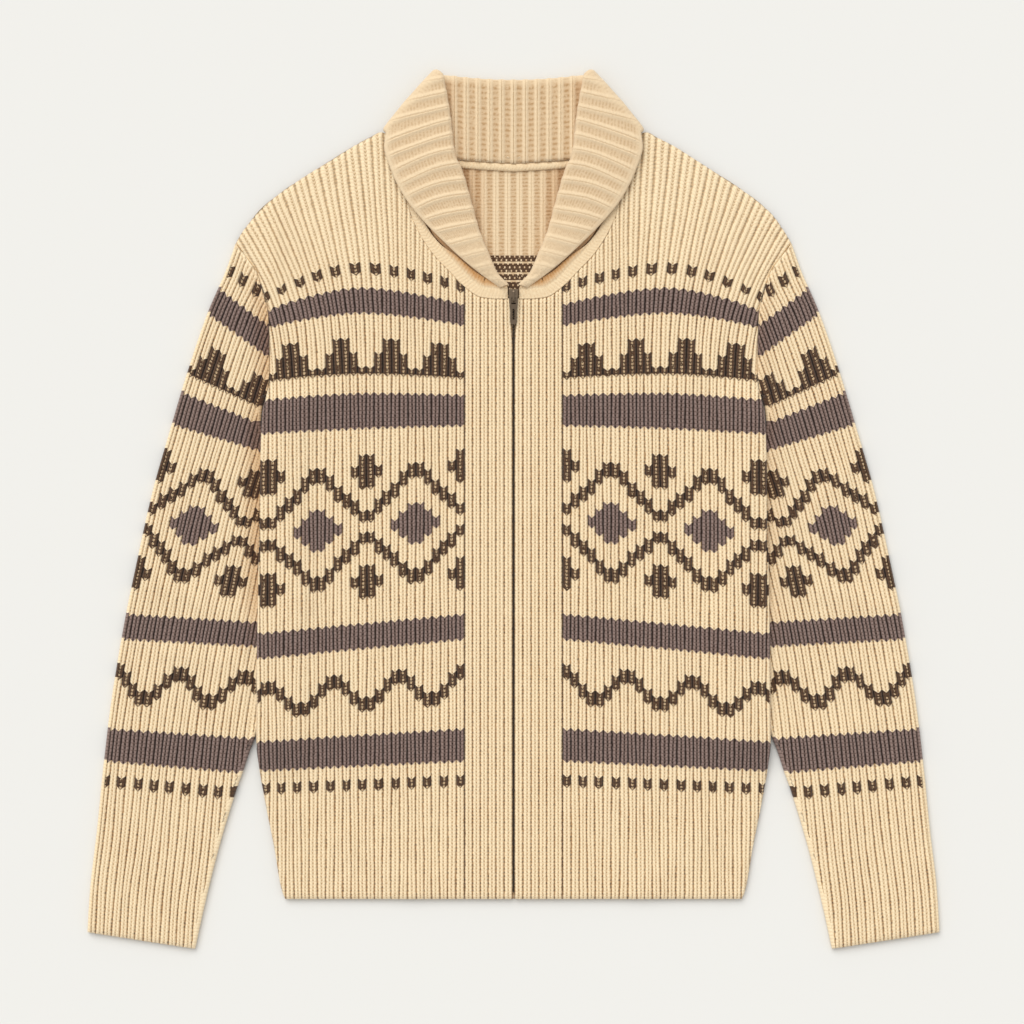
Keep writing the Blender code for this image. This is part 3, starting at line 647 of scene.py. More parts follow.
def sleeve_surface(radius, ribbed, side):
    parts = [
        tucked(np.array(TUCK_UNDER_ANGLES), radius),
        laid(UNDER_RIBS, radius, -1, ribbed, side),
        folded(np.array(FOLD_ANGLES), radius),
        laid(OVER_RIBS, radius, 1, ribbed, side),
        tucked(np.array(TUCK_OVER_ANGLES), radius),
    ]
    x, at, z = (np.concatenate([part[k] for part in parts], axis=1) for k in range(3))
    if ribbed:
        z = np.where(z > SLEEVE_FOLD, SLEEVE_FOLD + (z - SLEEVE_FOLD) * edge_round(at - CUFF_Y), z)
    y = at - sleeve_tilt(at) * (read(SLEEVE_OUTER, at) - x)
    return stacked(side * x, y, z + lifted(side * x, y))


def sleeve(name, side):
    at_armhole = [OVER_RIBS[-1]] * len(TUCK_OVER_ANGLES)
    at_fold = [FOLD_RIB] * len(FOLD_ANGLES)
    ribs = np.concatenate([at_armhole, UNDER_RIBS, at_fold, OVER_RIBS, at_armhole])[None, :]
    knit = stacked(ribs, SLEEVE_ROW + (CUFF_Y - HEM_Y) / ROW)
    face = sleeve_surface(SLEEVE_FOLD, True, side)
    lining = sleeve_surface(SLEEVE_FOLD - WALL, False, side)
    return shell(name, face, lining, knit, stacked(1.0, sleeve_shade(face, side)), tube=True)


sleeves = [sleeve("knit_sleeve_right", -1), sleeve("knit_sleeve_left", 1)]

# %% [markdown]
# ## The back
# Only the inside of the back shows, below the neck tape, where the knit's wide reverse ribs and the dark
# strands that the colourwork carries behind it can be seen. Its outside, on the floor, has the same ribs as
# the fronts. Few of its rows show, so the grid is fine at the neck and coarse below it, which saves faces.

# %% Make the back
BACK_TOP = [At(0.0, 321.0), At(51.0, 324.5), At(81.0, 329.5), At(104.0, 333.5), At(112.0, 337.5)] + SHOULDER
BACK_RIB_PITCH = 10.9
BACK_LINES_A_RIB = 4
BACK_ROWS_A_STEP = 4
BACK_SPARE_ROWS = 14
FINE_FROM_Y = 196.0
RIBBED_FROM_Y = 190
INSIDE_SHADE = 0.55
REVERSE_CREST = ([0, 0.18, 0.36, 0.6, 1.0], [0.72, 1.0, 0.5, 0.12, 0.0])


def reverse_relief(u):
    """A pair of thin raised strands, and a broad trough between one pair and the next."""
    from_crest = np.abs(u - np.round(u)) * 2
    return np.interp(from_crest, *REVERSE_CREST)


def back(name):
    half = np.arange(0, PANEL_MOST_X / RIB_PITCH + 0.2, 1 / BACK_LINES_A_RIB)
    u = np.concatenate([-half[:0:-1], half])[None, :]
    coarse = np.arange(0, (FINE_FROM_Y - HEM_Y) / ROW, BACK_ROWS_A_STEP)
    fine = np.arange(coarse[-1] + BACK_ROWS_A_STEP, (SHOULDER[0].value - HEM_Y) / ROW + BACK_SPARE_ROWS)
    row = np.concatenate([[0, 1, 2], coarse[1:], fine])[:, None]
    x, y, to_side, to_top = body_grid(np.abs(u) * RIB_PITCH, u, row, BACK_TOP, dip=False)
    under = side_lift(x, y)
    free = np.minimum(np.minimum(to_side, y - HEM_Y), to_top) * 2
    reverse = 0.9 * (reverse_relief(x / BACK_RIB_PITCH + 0.5) - 0.6) * smooth(to_side / 20)
    height = WALL * edge_round(free) + np.where(y > RIBBED_FROM_Y, reverse, 0)
    groove = 0.5 * (1 - across(u + 0.5, "height")) * smooth(to_side / 4)
    x = np.sign(u) * x
    under = under + lifted(x, y)
    face, lining = stacked(x, y, under + height), stacked(x, y, under + groove)
    outside = stacked(np.abs(u), row)
    inside = stacked(x / BACK_RIB_PITCH + 0.5, (y - HEM_Y) / ROW)
    # Painted warm shade inside the back beside the neck, where the collar covers it.
    beside_neck = smooth((np.abs(x) - 14) / 40) * smooth((y - 215) / 30)
    finish = stacked(1.0, INSIDE_SHADE * beside_neck)
    return shell(name, face, lining, inside, finish, outside, lining_steps=(2, 1))


back_panel = back("knit_back")

# %% [markdown]
# ## The collar
# The shawl collar is one strip, sewn round the neck and folded over outwards: a stand rises from the seam,
# rolls over, and falls to its edge. A cloth simulation could fold it, but not onto the photo's outline, so
# it is drawn as a tailor would, from sections. `COLLAR_FRONT` gives them at some stations down the front.

# %% Stations down the front
Station = namedtuple("Station", "fold_x fold_y edge_x edge_y seam_x seam_y seam_z fold_z opening edge_z")
COLLAR_FRONT = [
    Station(63.5, 401.6, 117.2, 346.4, 107.5, 333.0, 10.2, 10.2, 5.4, 12.2),
    Station(57.1, 366.6, 118.9, 333.4, 94.8, 315.5, 9.6, 10.2, 6.0, 12.4),
    Station(52.0, 327.4, 112.4, 311.5, 88.6, 292.4, 7.4, 10.2, 6.4, 12.4),
    Station(45.5, 312.4, 99.8, 286.6, 84.0, 276.0, 5.8, 8.8, 6.4, 12.4),
    Station(36.5, 281.5, 79.8, 262.0, 74.5, 255.0, 5.4, 6.6, 6.4, 11.6),
    Station(29.9, 258.1, 63.0, 245.2, 59.0, 236.8, 5.4, 5.8, 6.4, 11.2),
    Station(21.6, 237.6, 45.8, 229.2, 43.6, 220.6, 5.4, 5.6, 6.0, 10.8),
    Station(13.0, 218.5, 28.6, 215.4, 28.4, 208.4, 5.4, 5.5, 4.8, 9.6),
    Station(2.6, 207.6, 12.4, 204.0, 12.0, 205.0, 5.4, 5.4, 2.6, 8.4),
]
print("the collar's front has", len(COLLAR_FRONT), "stations")

# %% [markdown]
# ## The collar's sections
# A `Section` is the strip seen end on: its seam, the centre of its roll and its edge, with the directions
# in which it opens and reaches. In front the sections come from the stations. At the side of the neck the
# strip turns over, and behind the neck it lies with its fall underneath. A flat strip bent by a modifier
# would keep one width, and the collar doesn't.

# %% Sections from seam to edge
COLLAR_BACK_FOLD_Y = 392.0
COLLAR_TURN_Z = 8.5
COLLAR_BACK_SEAM_Z = 4.6
COLLAR_LAP = 2.4
COLLAR_RIB_PITCH = 12.0
COLLAR_BACK_RIBS = 6
COLLAR_TURN_STEPS = 4
COLLAR_TURN_FULLNESS = 1.8
COLLAR_FAN_POWER = 6
VISIBLE_STAND_X = 53.0
FALL_CROWN = 1.2
Section = namedtuple("Section", "seam centre edge out reach half rise_stand rise_fall")
SECTION_SIDES = 201


def mixed_station(q):
    places = range(len(COLLAR_FRONT))
    fields = [[At(k, getattr(COLLAR_FRONT[k], field)) for k in places] for field in Station._fields]
    return Station(*(float(read(table, float(q))) for table in fields))


def front_section(q):
    row = mixed_station(q)
    root = Vector((row.seam_x + row.edge_x, row.seam_y + row.edge_y)) / 2
    reach = (Vector((row.fold_x, row.fold_y)) - root).normalized()
    half = row.opening / 2
    centre = Vector((row.fold_x, row.fold_y)) - reach * (half + WALL / 2 + RIB_RISE)
    return Section(
        Vector((row.seam_x, row.seam_y, row.seam_z)),
        Vector((centre.x, centre.y, row.fold_z + half)),
        Vector((row.edge_x, row.edge_y, row.edge_z)),
        Vector((0, 0, 1)), Vector((reach.x, reach.y, 0)), half, 0.0, 1.0,
    )


def turn_section(angle):
    first = front_section(0)
    line = (first.edge - first.centre).xy.normalized()
    out = Vector((-line.y, line.x, 0)) * math.cos(angle) + Vector((0, 0, math.sin(angle)))

    def swung(point):
        return Vector((point.x, point.y, COLLAR_TURN_Z)) + out * (point.z - COLLAR_TURN_Z)

    fuller = COLLAR_TURN_FULLNESS * math.cos(angle) ** 2
    return first._replace(
        seam=swung(first.seam), centre=swung(first.centre) - first.reach * fuller, edge=swung(first.edge),
        out=out, half=first.half + fuller, rise_fall=float(smooth(0.6 + angle)),
    )


def back_section(s):
    last = turn_section(-math.pi / 2)
    fan = s**COLLAR_FAN_POWER

    def spread(point, table, shift):
        x = last.centre.x * s + (point.x - last.centre.x) * fan
        end = point.y - float(read(table, point.x)) - shift
        return Vector((x, float(read(table, x)) + shift + end * fan, point.z))

    seam = spread(last.seam, BACK_TOP, -COLLAR_LAP)
    seam.z = mix(COLLAR_BACK_SEAM_Z, last.seam.z, s)
    edge = spread(last.edge, BACK_TOP, 2.2)
    centre = Vector((last.centre.x * s, mix(COLLAR_BACK_FOLD_Y, last.centre.y, s * s), last.centre.z))
    reach = (centre - (seam + edge) / 2).xy.normalized()
    seen = 1 - float(smooth((centre.x - VISIBLE_STAND_X) / 12))
    return last._replace(
        seam=seam, centre=centre, edge=edge, reach=Vector((reach.x, reach.y, 0)),
        rise_stand=seen, rise_fall=0.0,
    )


def collar_sections(count):
    """Sections from the centre back to the zip, each with its place in half ribs of the solid."""
    back_steps, last = 2 * COLLAR_BACK_RIBS, len(COLLAR_FRONT) - 1
    q = np.linspace(0, last, SECTION_SIDES)
    folds = np.array([mixed_station(k)[:2] for k in q])
    along = np.concatenate([[0], np.cumsum(np.hypot(*np.diff(folds, axis=0).T))])
    front_steps = 2 * round(along[-1] / COLLAR_RIB_PITCH)
    places = np.linspace(0, back_steps + COLLAR_TURN_STEPS + front_steps, count)
    sections = []
    for place in places:
        if place < back_steps:
            sections.append(back_section(place / back_steps))
        elif place < back_steps + COLLAR_TURN_STEPS:
            sections.append(turn_section(math.pi * ((place - back_steps) / COLLAR_TURN_STEPS - 0.5)))
        else:
            target = along[-1] * (place - back_steps - COLLAR_TURN_STEPS) / front_steps
            sections.append(front_section(np.interp(target, along, q)))
    return places, sections


print("the turn at the neck has a roll", round(turn_section(0).half, 2), "mm in radius")

# %% [markdown]
# ## The collar's surface
# Each section becomes a row of points up the stand, round the roll and down the fall. The ribs are broad,
# with a pair of thin strands on each crest. They fade where the strip rolls over, and near its edge. A bump
# map would do for ribs seen from above, but these also show at the fold, so they are in the points.

# %% Stand, roll and fall
STAND_LINES, ROLL_LINES, FALL_LINES = 16, 11, 30
ROWS_A_LINE = (0.95, 0.39, 0.6)
FALL_RIB_PITCH = 13.2
EDGE_SHARE = 0.3
ROLL_SHOWS_LEAST = 0.45
FADE_AT_EDGE = 0.14
RIB_CLIMB, RIB_CURVE = 0.15, 0.0032
SECTIONS_A_SIDE = 330


def collar_surface(fields, outer, relief):
    """The points of the strip: a line for each place up the stand, round the roll and down the fall."""
    seam, centre, edge, out, reach, half, _, rise_fall = fields
    up = np.linspace(0, 1, STAND_LINES, endpoint=False)[:, None, None]
    turn = np.radians(np.linspace(-90, 90, ROLL_LINES))[:, None, None]
    down = np.linspace(0, 1, FALL_LINES + 1)[1:, None, None]
    stand = mix(seam, centre - out * half, up)
    away = reach * np.cos(turn) + out * np.sin(turn)
    roll = centre + away * half
    fall = mix(centre + out * half, edge, down) + out * FALL_CROWN * rise_fall * np.sin(np.pi * down)
    middle = np.concatenate([stand, roll, fall])
    away = np.concatenate([np.broadcast_to(-out, stand.shape), away, np.broadcast_to(out, fall.shape)])
    if not outer:
        return middle - away * WALL / 2
    edge_share = np.where(np.arange(len(middle)) == len(middle) - 1, EDGE_SHARE, 1.0)[:, None, None]
    return middle + away * (WALL / 2 + relief[..., None]) * edge_share


def collar_shows(fields):
    """How much of the ribs shows at each point: none inside the front, and little on the roll."""
    rise_stand, rise_fall = fields[6][..., 0], fields[7][..., 0]
    turn = np.linspace(0, 1, ROLL_LINES)[:, None]
    down = np.linspace(0, 1, FALL_LINES + 1)[1:, None]
    on_stand = np.repeat(rise_stand, STAND_LINES, axis=0)
    on_roll = mix(rise_stand, rise_fall, smooth(turn)) * mix(ROLL_SHOWS_LEAST, 1, np.abs(2 * turn - 1))
    on_fall = rise_fall * smooth((1 - down) / FADE_AT_EDGE)
    return np.concatenate([on_stand, on_roll, on_fall])


def collar_ribs(fields, places):
    """The rib coordinate: along x behind the neck, and in front down the fold and up across the fall."""
    flat = np.zeros((STAND_LINES + ROLL_LINES + FALL_LINES, len(places)))
    middle = collar_surface(fields, True, flat)
    _, centre, _, _, reach, half = fields[:6]
    fold = centre + reach * half
    inward = np.abs(middle[..., 0] - fold[..., 0])
    climb = middle[..., 1] + RIB_CLIMB * inward + RIB_CURVE * inward**2
    climb = climb + 0.7 * np.sin(0.11 * inward + 0.05 * middle[..., 1]) + 0.3 * np.sin(0.19 * middle[..., 1])
    inside = np.arange(len(middle))[:, None] < STAND_LINES
    climb = np.where(inside, fold[..., 1], climb)
    behind = places[None, :] < 2 * COLLAR_BACK_RIBS
    return np.where(behind, middle[..., 0] / BACK_RIB_PITCH, climb / FALL_RIB_PITCH)


print("a section of the collar has", STAND_LINES + ROLL_LINES + FALL_LINES, "points")

# %% [markdown]
# ## The collar itself
# Places along the strip are counted in half ribs from the centre back. The ribs are pressed flat near the
# zip and at the corner beside the neck. The stand is in shade where the fall covers it: that shade is
# painted into its colour, and its troughs are painted deeper.

# %% Make the collar
FLAT_FROM_PLACE, FLAT_RUN, FLAT_SHARE = 36, 12, 0.55
CORNER_PLACE, CORNER_REACH = 13.5, 3.5
COLLAR_RELIEF, COLLAR_RELIEF_BASE = 1.9, 0.3
STAND_SHADE, STAND_SIDE_SHADE = 0.75, 0.5
SIDE_SHADE_FROM_PLACE, SIDE_SHADE_RUN = 8, 4
STAND_DEPTH = 1.55


def as_row(value):
    return tuple(value) if hasattr(value, "__len__") else (value,)


def mirrored(grid, signs=1):
    """The wearer's left half of a grid, with its mirror image put before it."""
    return np.concatenate([grid[:, :0:-1] * signs, grid], axis=1)


def collar(name):
    places, sections = collar_sections(SECTIONS_A_SIDE)
    fields = [np.array([as_row(getattr(one, field)) for one in sections])[None] for field in Section._fields]
    u = collar_ribs(fields, places)
    near_zip = smooth((places - FLAT_FROM_PLACE) / FLAT_RUN)[None, :]
    at_corner = smooth(1 - np.abs(places - CORNER_PLACE) / CORNER_REACH)[None, :]
    shows = collar_shows(fields) * (1 - FLAT_SHARE * near_zip) * (1 - at_corner)
    relief = shows * (COLLAR_RELIEF * reverse_relief(u) - COLLAR_RELIEF_BASE)
    outer = collar_surface(fields, True, relief)
    inner = collar_surface(fields, False, None)
    v = np.cumsum(np.repeat(ROWS_A_LINE, [STAND_LINES, ROLL_LINES, FALL_LINES]))[:, None] + 0 * u
    line, place = np.arange(len(u))[:, None], places[None, :]
    # Painted shade on the stand, where the fall covers it.
    shade = STAND_SHADE * (line < STAND_LINES - 2) * (place > 2 * COLLAR_BACK_RIBS)
    beside_neck = smooth((place - SIDE_SHADE_FROM_PLACE) / SIDE_SHADE_RUN)
    hidden = STAND_SIDE_SHADE * beside_neck * (line < STAND_LINES)
    stand_depth = np.where(line < STAND_LINES, STAND_DEPTH, 1.0)
    finish = stacked(shows * stand_depth, np.maximum(shade, hidden))
    face, lining = mirrored(outer, [-1, 1, 1]), mirrored(inner, [-1, 1, 1])
    return shell(name, face, lining, mirrored(stacked(u, v)), mirrored(finish), lining_steps=(5, 6))


collar_piece = collar("knit_collar")

# %% [markdown]
# ## The neck edging
# A smooth strip, sewn on along the neckline, laps over the cut edge of the front and over the foot of the
# collar, and hides under the fall. It ends in a plump welt beside the zip. It follows a curve and keeps no
# even width, so it is worked out square to the neckline, point by point, and not swept along it.

# %% Make the edgings
NECK_POINT_X = 106.0
NECK_END_X = 5.2
NECK_V_Y, NECK_V_SLOPE = 204, 0.45
EDGING_WIDTH = [
    At(0, 13.4), At(9, 13.8), At(16, 15.0), At(30, 18.4),
    At(45, 16.2), At(62, 14.0), At(80, 9.0), At(106, 7.0),
]
EDGING_COLUMNS, EDGING_LINES = 190, 19
EDGING_THICKNESS, EDGING_THINNEST = 2.7, 1.1
WELT_FROM_X, WELT_RUN = 44, 14
EDGING_LAP = 0.7
EDGING_STEP_OVER_FRONT = 2.2
EDGING_STEP_OVER_COLLAR = 3.4
EDGING_SHADE, EDGING_SHADE_UNDER_FALL = 0.15, 0.85


def neck_edging(name, side):
    x = np.linspace(NECK_POINT_X, NECK_END_X, EDGING_COLUMNS)
    y = read(FRONT_TOP, x)
    along = np.stack([np.gradient(x), np.gradient(y)], axis=-1)
    along /= np.linalg.norm(along, axis=1)[:, None]
    inwards = np.stack([along[:, 1], -along[:, 0]], axis=-1)
    inwards *= np.sign(inwards @ [-1.0, 1.0])[:, None]
    share = np.linspace(0, 1, EDGING_LINES)[:, None]
    inward = mix(-EDGING_LAP, read(EDGING_WIDTH, x), share)
    spot_y = y + inwards[:, 1] * inward
    end_x = NECK_END_X + NECK_V_SLOPE * np.maximum(spot_y - NECK_V_Y, 0)
    spot_x = np.maximum(x + inwards[:, 0] * inward, end_x)
    over_front = EDGING_STEP_OVER_FRONT * (1 - smooth((inward - 0.2) / 1.4))
    under = FRONT_UNDER + over_front + EDGING_STEP_OVER_COLLAR * smooth((inward - 7.5) / 2.5)
    welt = smooth((WELT_FROM_X - x) / WELT_RUN) * smooth((x - NECK_END_X) / 6)
    crown = EDGING_THICKNESS + (0.7 + 0.5 * welt) * np.sin(np.pi * share) ** 0.7
    top = np.maximum(FRONT_UNDER + crown * (1 - 0.25 * smooth((9 - x) / 4)), under + EDGING_THINNEST)
    face, lining = stacked(side * spot_x, spot_y, top), stacked(side * spot_x, spot_y, under)
    distance = np.concatenate([[0], np.cumsum(np.hypot(np.diff(x), np.diff(y)))])
    knit = stacked(share * 2, distance / ROW)
    # Painted shade on the edging, deepest where it goes under the fall.
    under_fall = np.maximum(EDGING_SHADE_UNDER_FALL * smooth((inward - 6.5) / 8.0), EDGING_SHADE)
    finish = stacked(0.6 * (1 - 0.3 * welt), under_fall)
    return shell(name, face, lining, knit, finish, lining_steps=(2, 2))


edgings = [neck_edging("neck_edging_right", -1), neck_edging("neck_edging_left", 1)]

# %% [markdown]
# ## The neck tape
# A strip of the same yarn covers the seam at the back of the neck, so that it doesn't scratch. It is a
# rounded ribbon with a fine ripple where the stitches pull it in. A bevelled curve could make it. `shell`
# is used instead, since it gives the tape the same maps as the other wool.

# %% Make the tape
SEAM = 0.4
TAPE_HALF_LENGTH = 54
TAPE_COLUMNS, TAPE_LINES = 90, 9
TAPE_ABOVE_SEAM, TAPE_BELOW_SEAM = 0.4, 7.0
TAPE_THICKNESS = 2.9
TAPE_SHADE = 0.16


def neck_tape(name):
    x = np.linspace(-TAPE_HALF_LENGTH, TAPE_HALF_LENGTH, TAPE_COLUMNS)[None, :]
    share = np.linspace(0, 1, TAPE_LINES)[:, None]
    y = read(BACK_TOP, np.abs(x)) - COLLAR_LAP - mix(-TAPE_ABOVE_SEAM, TAPE_BELOW_SEAM, share)
    crown = 0.5 + 0.6 * np.sin(np.pi * share) ** 0.6 + 0.07 * np.sin(x * 2.1 + share * 5)
    face, lining = stacked(x, y, WALL + SEAM + TAPE_THICKNESS * crown), stacked(x, y, WALL + SEAM)
    finish = stacked(0.45, TAPE_SHADE + 0 * y)
    return shell(name, face, lining, stacked(share * 2, x / ROW), finish, lining_steps=(4, 3))


tape_piece = neck_tape("neck_cord")

# %% [markdown]
# ## The zip
# A zip is one tooth, repeated some hundreds of times. That is what Geometry Nodes are for: the tree lays a
# tooth at equal steps down a line, and moves it to the left and to the right in turn. Its inputs are the
# length, the step, the tooth's own size and how far it is moved. It ends by making the copies real and
# giving them their material.

# %% Build the tree of teeth
CHAIN_Y = (-353.0, 195.0)
CHAIN_Z = (3.1, 6.0)
TOOTH_STEP = 2.4
TOOTH_SIZE = (0.0013, 0.0014, 0.0024)
TOOTH_OFFSET = 0.0002
TOOTH_CREASE = 0.55


def add_input(group, name, kind, value):
    socket = group.interface.new_socket(name, in_out="INPUT", socket_type=kind)
    if value is not None:
        socket.default_value = value
    return socket


def teeth_tree():
    group = bpy.data.node_groups.new("zip teeth", "GeometryNodeTree")
    group.interface.new_socket("Geometry", in_out="OUTPUT", socket_type="NodeSocketGeometry")
    add_input(group, "Length", "NodeSocketFloat", 0.5)
    add_input(group, "Step", "NodeSocketFloat", TOOTH_STEP * MM)
    add_input(group, "Tooth Size", "NodeSocketVector", TOOTH_SIZE)
    add_input(group, "Offset", "NodeSocketFloat", TOOTH_OFFSET)
    add_input(group, "Material", "NodeSocketMaterial", None)
    nodes, links = group.nodes, group.links
    given, result = nodes.new("NodeGroupInput"), nodes.new("NodeGroupOutput")

    def link(source, target):
        links.new(source, target)

    def maths(operation, a, b):
        node = nodes.new("ShaderNodeMath")
        node.operation = operation
        for socket, value in zip(node.inputs, (a, b)):
            if isinstance(value, (int, float)):
                socket.default_value = value
            else:
                link(value, socket)
        return node.outputs[0]

    count = maths("DIVIDE", given.outputs["Length"], given.outputs["Step"])
    line = nodes.new("GeometryNodeMeshLine")
    link(count, line.inputs["Count"])
    down = nodes.new("ShaderNodeCombineXYZ")
    link(maths("MULTIPLY", given.outputs["Step"], -1.0), down.inputs["Y"])
    link(down.outputs[0], line.inputs["Offset"])
    index = nodes.new("GeometryNodeInputIndex")
    odd = maths("SUBTRACT", maths("MULTIPLY", maths("MODULO", index.outputs[0], 2.0), 2.0), 1.0)
    aside = nodes.new("ShaderNodeCombineXYZ")
    link(maths("MULTIPLY", odd, given.outputs["Offset"]), aside.inputs["X"])
    move = nodes.new("GeometryNodeSetPosition")
    link(line.outputs[0], move.inputs["Geometry"])
    link(aside.outputs[0], move.inputs["Offset"])
    tooth = nodes.new("GeometryNodeMeshCube")
    link(given.outputs["Tooth Size"], tooth.inputs["Size"])
    for axis in "XYZ":
        tooth.inputs["Vertices " + axis].default_value = 2
    round_off = nodes.new("GeometryNodeSubdivisionSurface")
    round_off.inputs["Level"].default_value = 1
    round_off.inputs["Edge Crease"].default_value = TOOTH_CREASE
    link(tooth.outputs[0], round_off.inputs[0])
    copies = nodes.new("GeometryNodeInstanceOnPoints")
    link(move.outputs[0], copies.inputs["Points"])
    link(round_off.outputs[0], copies.inputs["Instance"])
    real = nodes.new("GeometryNodeRealizeInstances")
    link(copies.outputs[0], real.inputs[0])
    dress = nodes.new("GeometryNodeSetMaterial")
    link(real.outputs[0], dress.inputs[0])
    link(given.outputs["Material"], dress.inputs["Material"])
    link(dress.outputs[0], result.inputs[0])
    return group


zip_tree = teeth_tree()
print("the zip's tree has", len(zip_tree.nodes), "nodes")

# %% [markdown]
# ## From a tree to a mesh
# The export takes plain meshes at the origin. So the tree runs on a holder, each input is set by its
# socket's identifier before the first evaluation, and the result is copied into a mesh of its own. The
# place of the piece goes into its points.


# %% Turn a tree into a mesh
def from_tree(name, group, values, place):
    """The tree's result as a plain mesh at the origin, moved in its own points by place."""
    holder = bpy.data.objects.new(name, bpy.data.meshes.new(name + " start"))
    bpy.context.scene.collection.objects.link(holder)
    modifier = holder.modifiers.new(group.name, "NODES")
    modifier.node_group = group
    names = {item.name: item.identifier for item in group.interface.items_tree if item.in_out == "INPUT"}
    for key, value in values.items():
        modifier[names[key]] = value
    holder.update_tag()
    graph = bpy.context.evaluated_depsgraph_get()
    mesh = bpy.data.meshes.new_from_object(holder.evaluated_get(graph))
    holder.modifiers.clear()
    holder.data = mesh
    for vertex in mesh.vertices:
        vertex.co += Vector(place)
    mesh.name = name
    print(f"{name}: {len(mesh.polygons)} faces")
    return holder


print("the chain is", CHAIN_Y[1] - CHAIN_Y[0], "mm long")

# %% [markdown]
# ## Sums in a shader
# A chart of colours could be a picture, but a picture has pixels and its stitches would blur. A formula
# stays sharp. `Wire` is one value that flows through a shader. Adding or comparing two wires makes the Math
# node that does it, so a pattern can be written down as a formula.


# %% One value in a shader
class Wire:
    def __init__(self, tree, socket):
        self.tree, self.socket = tree, socket

    def maths(self, operation, *others):
        node = self.tree.nodes.new("ShaderNodeMath")
        node.operation = operation
        for socket, value in zip(node.inputs, (self, *others)):
            if isinstance(value, Wire):
                self.tree.links.new(value.socket, socket)
            else:
                socket.default_value = value
        return Wire(self.tree, node.outputs[0])

    def __add__(self, other):
        return self.maths("ADD", other)

    def __sub__(self, other):
        return self.maths("SUBTRACT", other)

    def __mul__(self, other):
        return self.maths("MULTIPLY", other)

    def __mod__(self, other):
        return self.maths("FLOORED_MODULO", other)

    def __lt__(self, other):
        return self.maths("LESS_THAN", other)

    def __gt__(self, other):
        return self.maths("GREATER_THAN", other)

    def __abs__(self):
        return self.maths("ABSOLUTE")

    def floor(self):
        return self.maths("FLOOR")

    def sine(self):
        return self.maths("SINE")

    def at_least(self, other):
        return self.maths("MAXIMUM", other)

    def between(self, low, high):
        return (self > low) * (self < high)

    def ramp(self, start, end):
        """A soft step from 0 at start to 1 at end."""
        node = self.tree.nodes.new("ShaderNodeMapRange")
        node.interpolation_type = "SMOOTHSTEP"
        self.tree.links.new(self.socket, node.inputs["Value"])
        node.inputs["From Min"].default_value, node.inputs["From Max"].default_value = start, end
        return Wire(self.tree, node.outputs["Result"])


def any_of(*wires):
    total = wires[0]
    for wire in wires[1:]:
        total = total.at_least(wire)
    return total


print("Wire has", len([name for name in vars(Wire) if not name.startswith("_")]), "named sums")

# %% [markdown]
# ## The colourwork
# The chart is counted in ribs across and in rows up from the hem: stripes, a zigzag, a band of stepped
# diamonds with a small cross between each pair, and a row of triangles. It is a design made for this model.
# A rib is as wide as 2.3 rows are high, so the sums measure both in rows. A limit that ends in a half lies
# between two rows.

# %% Write down the chart
RIB_IN_ROWS = RIB_PITCH / ROW
REPEAT_RIBS = 12.0
HALF_REPEAT = 5.5
STRIPE_ROWS = [(38.5, 47.5), (72.5, 79.5), (132.5, 141.5), (163.5, 170.5)]
TICK_ROWS = [(31.5, 34.5), (174.5, 177.5)]
ZIGZAG_RIBS, ZIGZAG_MIDDLE = 8.0, 3.5
ZIGZAG_ROWS = (53.5, 57.5)
DIAMOND_ROW = 106.0
DIAMOND_HEART = 7.0
DIAMOND_OUTLINE = (13.5, 17.5)
DIAMOND_BAND = (86.5, 125.5)
CROSS_FROM_DIAMOND_ROW = 15.0
CROSS_UPRIGHT, CROSS_BAR = (1.5, 4.5), (3.7, 1.5)
TRIANGLE_RIBS, TRIANGLE_MIDDLE = 6.0, 2.5
TRIANGLE_SLOPE = 1.7
TRIANGLE_FOOT, TRIANGLE_TOP = 146.5, 158.0


def rows_from_middle(rib, ribs, middle):
    """How far a rib is from the middle of its repeat, measured in rows."""
    return abs((rib % ribs) - middle) * RIB_IN_ROWS


def diamond_ring(rib, row):
    """Distance from the middle of a diamond, in rows, along the steps."""
    return rows_from_middle(rib, REPEAT_RIBS, HALF_REPEAT) + abs(row - DIAMOND_ROW)


def grey_stitches(rib, row):
    stripes = [row.between(low, high) for low, high in STRIPE_ROWS]
    return any_of(*stripes, diamond_ring(rib, row) < DIAMOND_HEART)


def dark_stitches(rib, row):
    wave = rows_from_middle(rib, ZIGZAG_RIBS, ZIGZAG_MIDDLE)
    zigzag = (row - wave).between(*ZIGZAG_ROWS)
    outline = diamond_ring(rib, row).between(*DIAMOND_OUTLINE) * row.between(*DIAMOND_BAND)
    aside = rows_from_middle(rib + REPEAT_RIBS / 2, REPEAT_RIBS, HALF_REPEAT)
    level = abs(abs(row - DIAMOND_ROW) - CROSS_FROM_DIAMOND_ROW)
    cross = any_of(*[(aside < wide) * (level < high) for wide, high in (CROSS_UPRIGHT, CROSS_BAR)])
    peak = abs((rib % TRIANGLE_RIBS) - TRIANGLE_MIDDLE) * (TRIANGLE_SLOPE * RIB_IN_ROWS)
    triangle = (peak + row < TRIANGLE_TOP) * (row > TRIANGLE_FOOT)
    ticks = ((rib % 2.0) < 0.5) * any_of(*[row.between(low, high) for low, high in TICK_ROWS])
    return any_of(zigzag, outline, cross, triangle, ticks)


print("the chart repeats every", REPEAT_RIBS, "ribs, or", REPEAT_RIBS * RIB_PITCH, "mm")
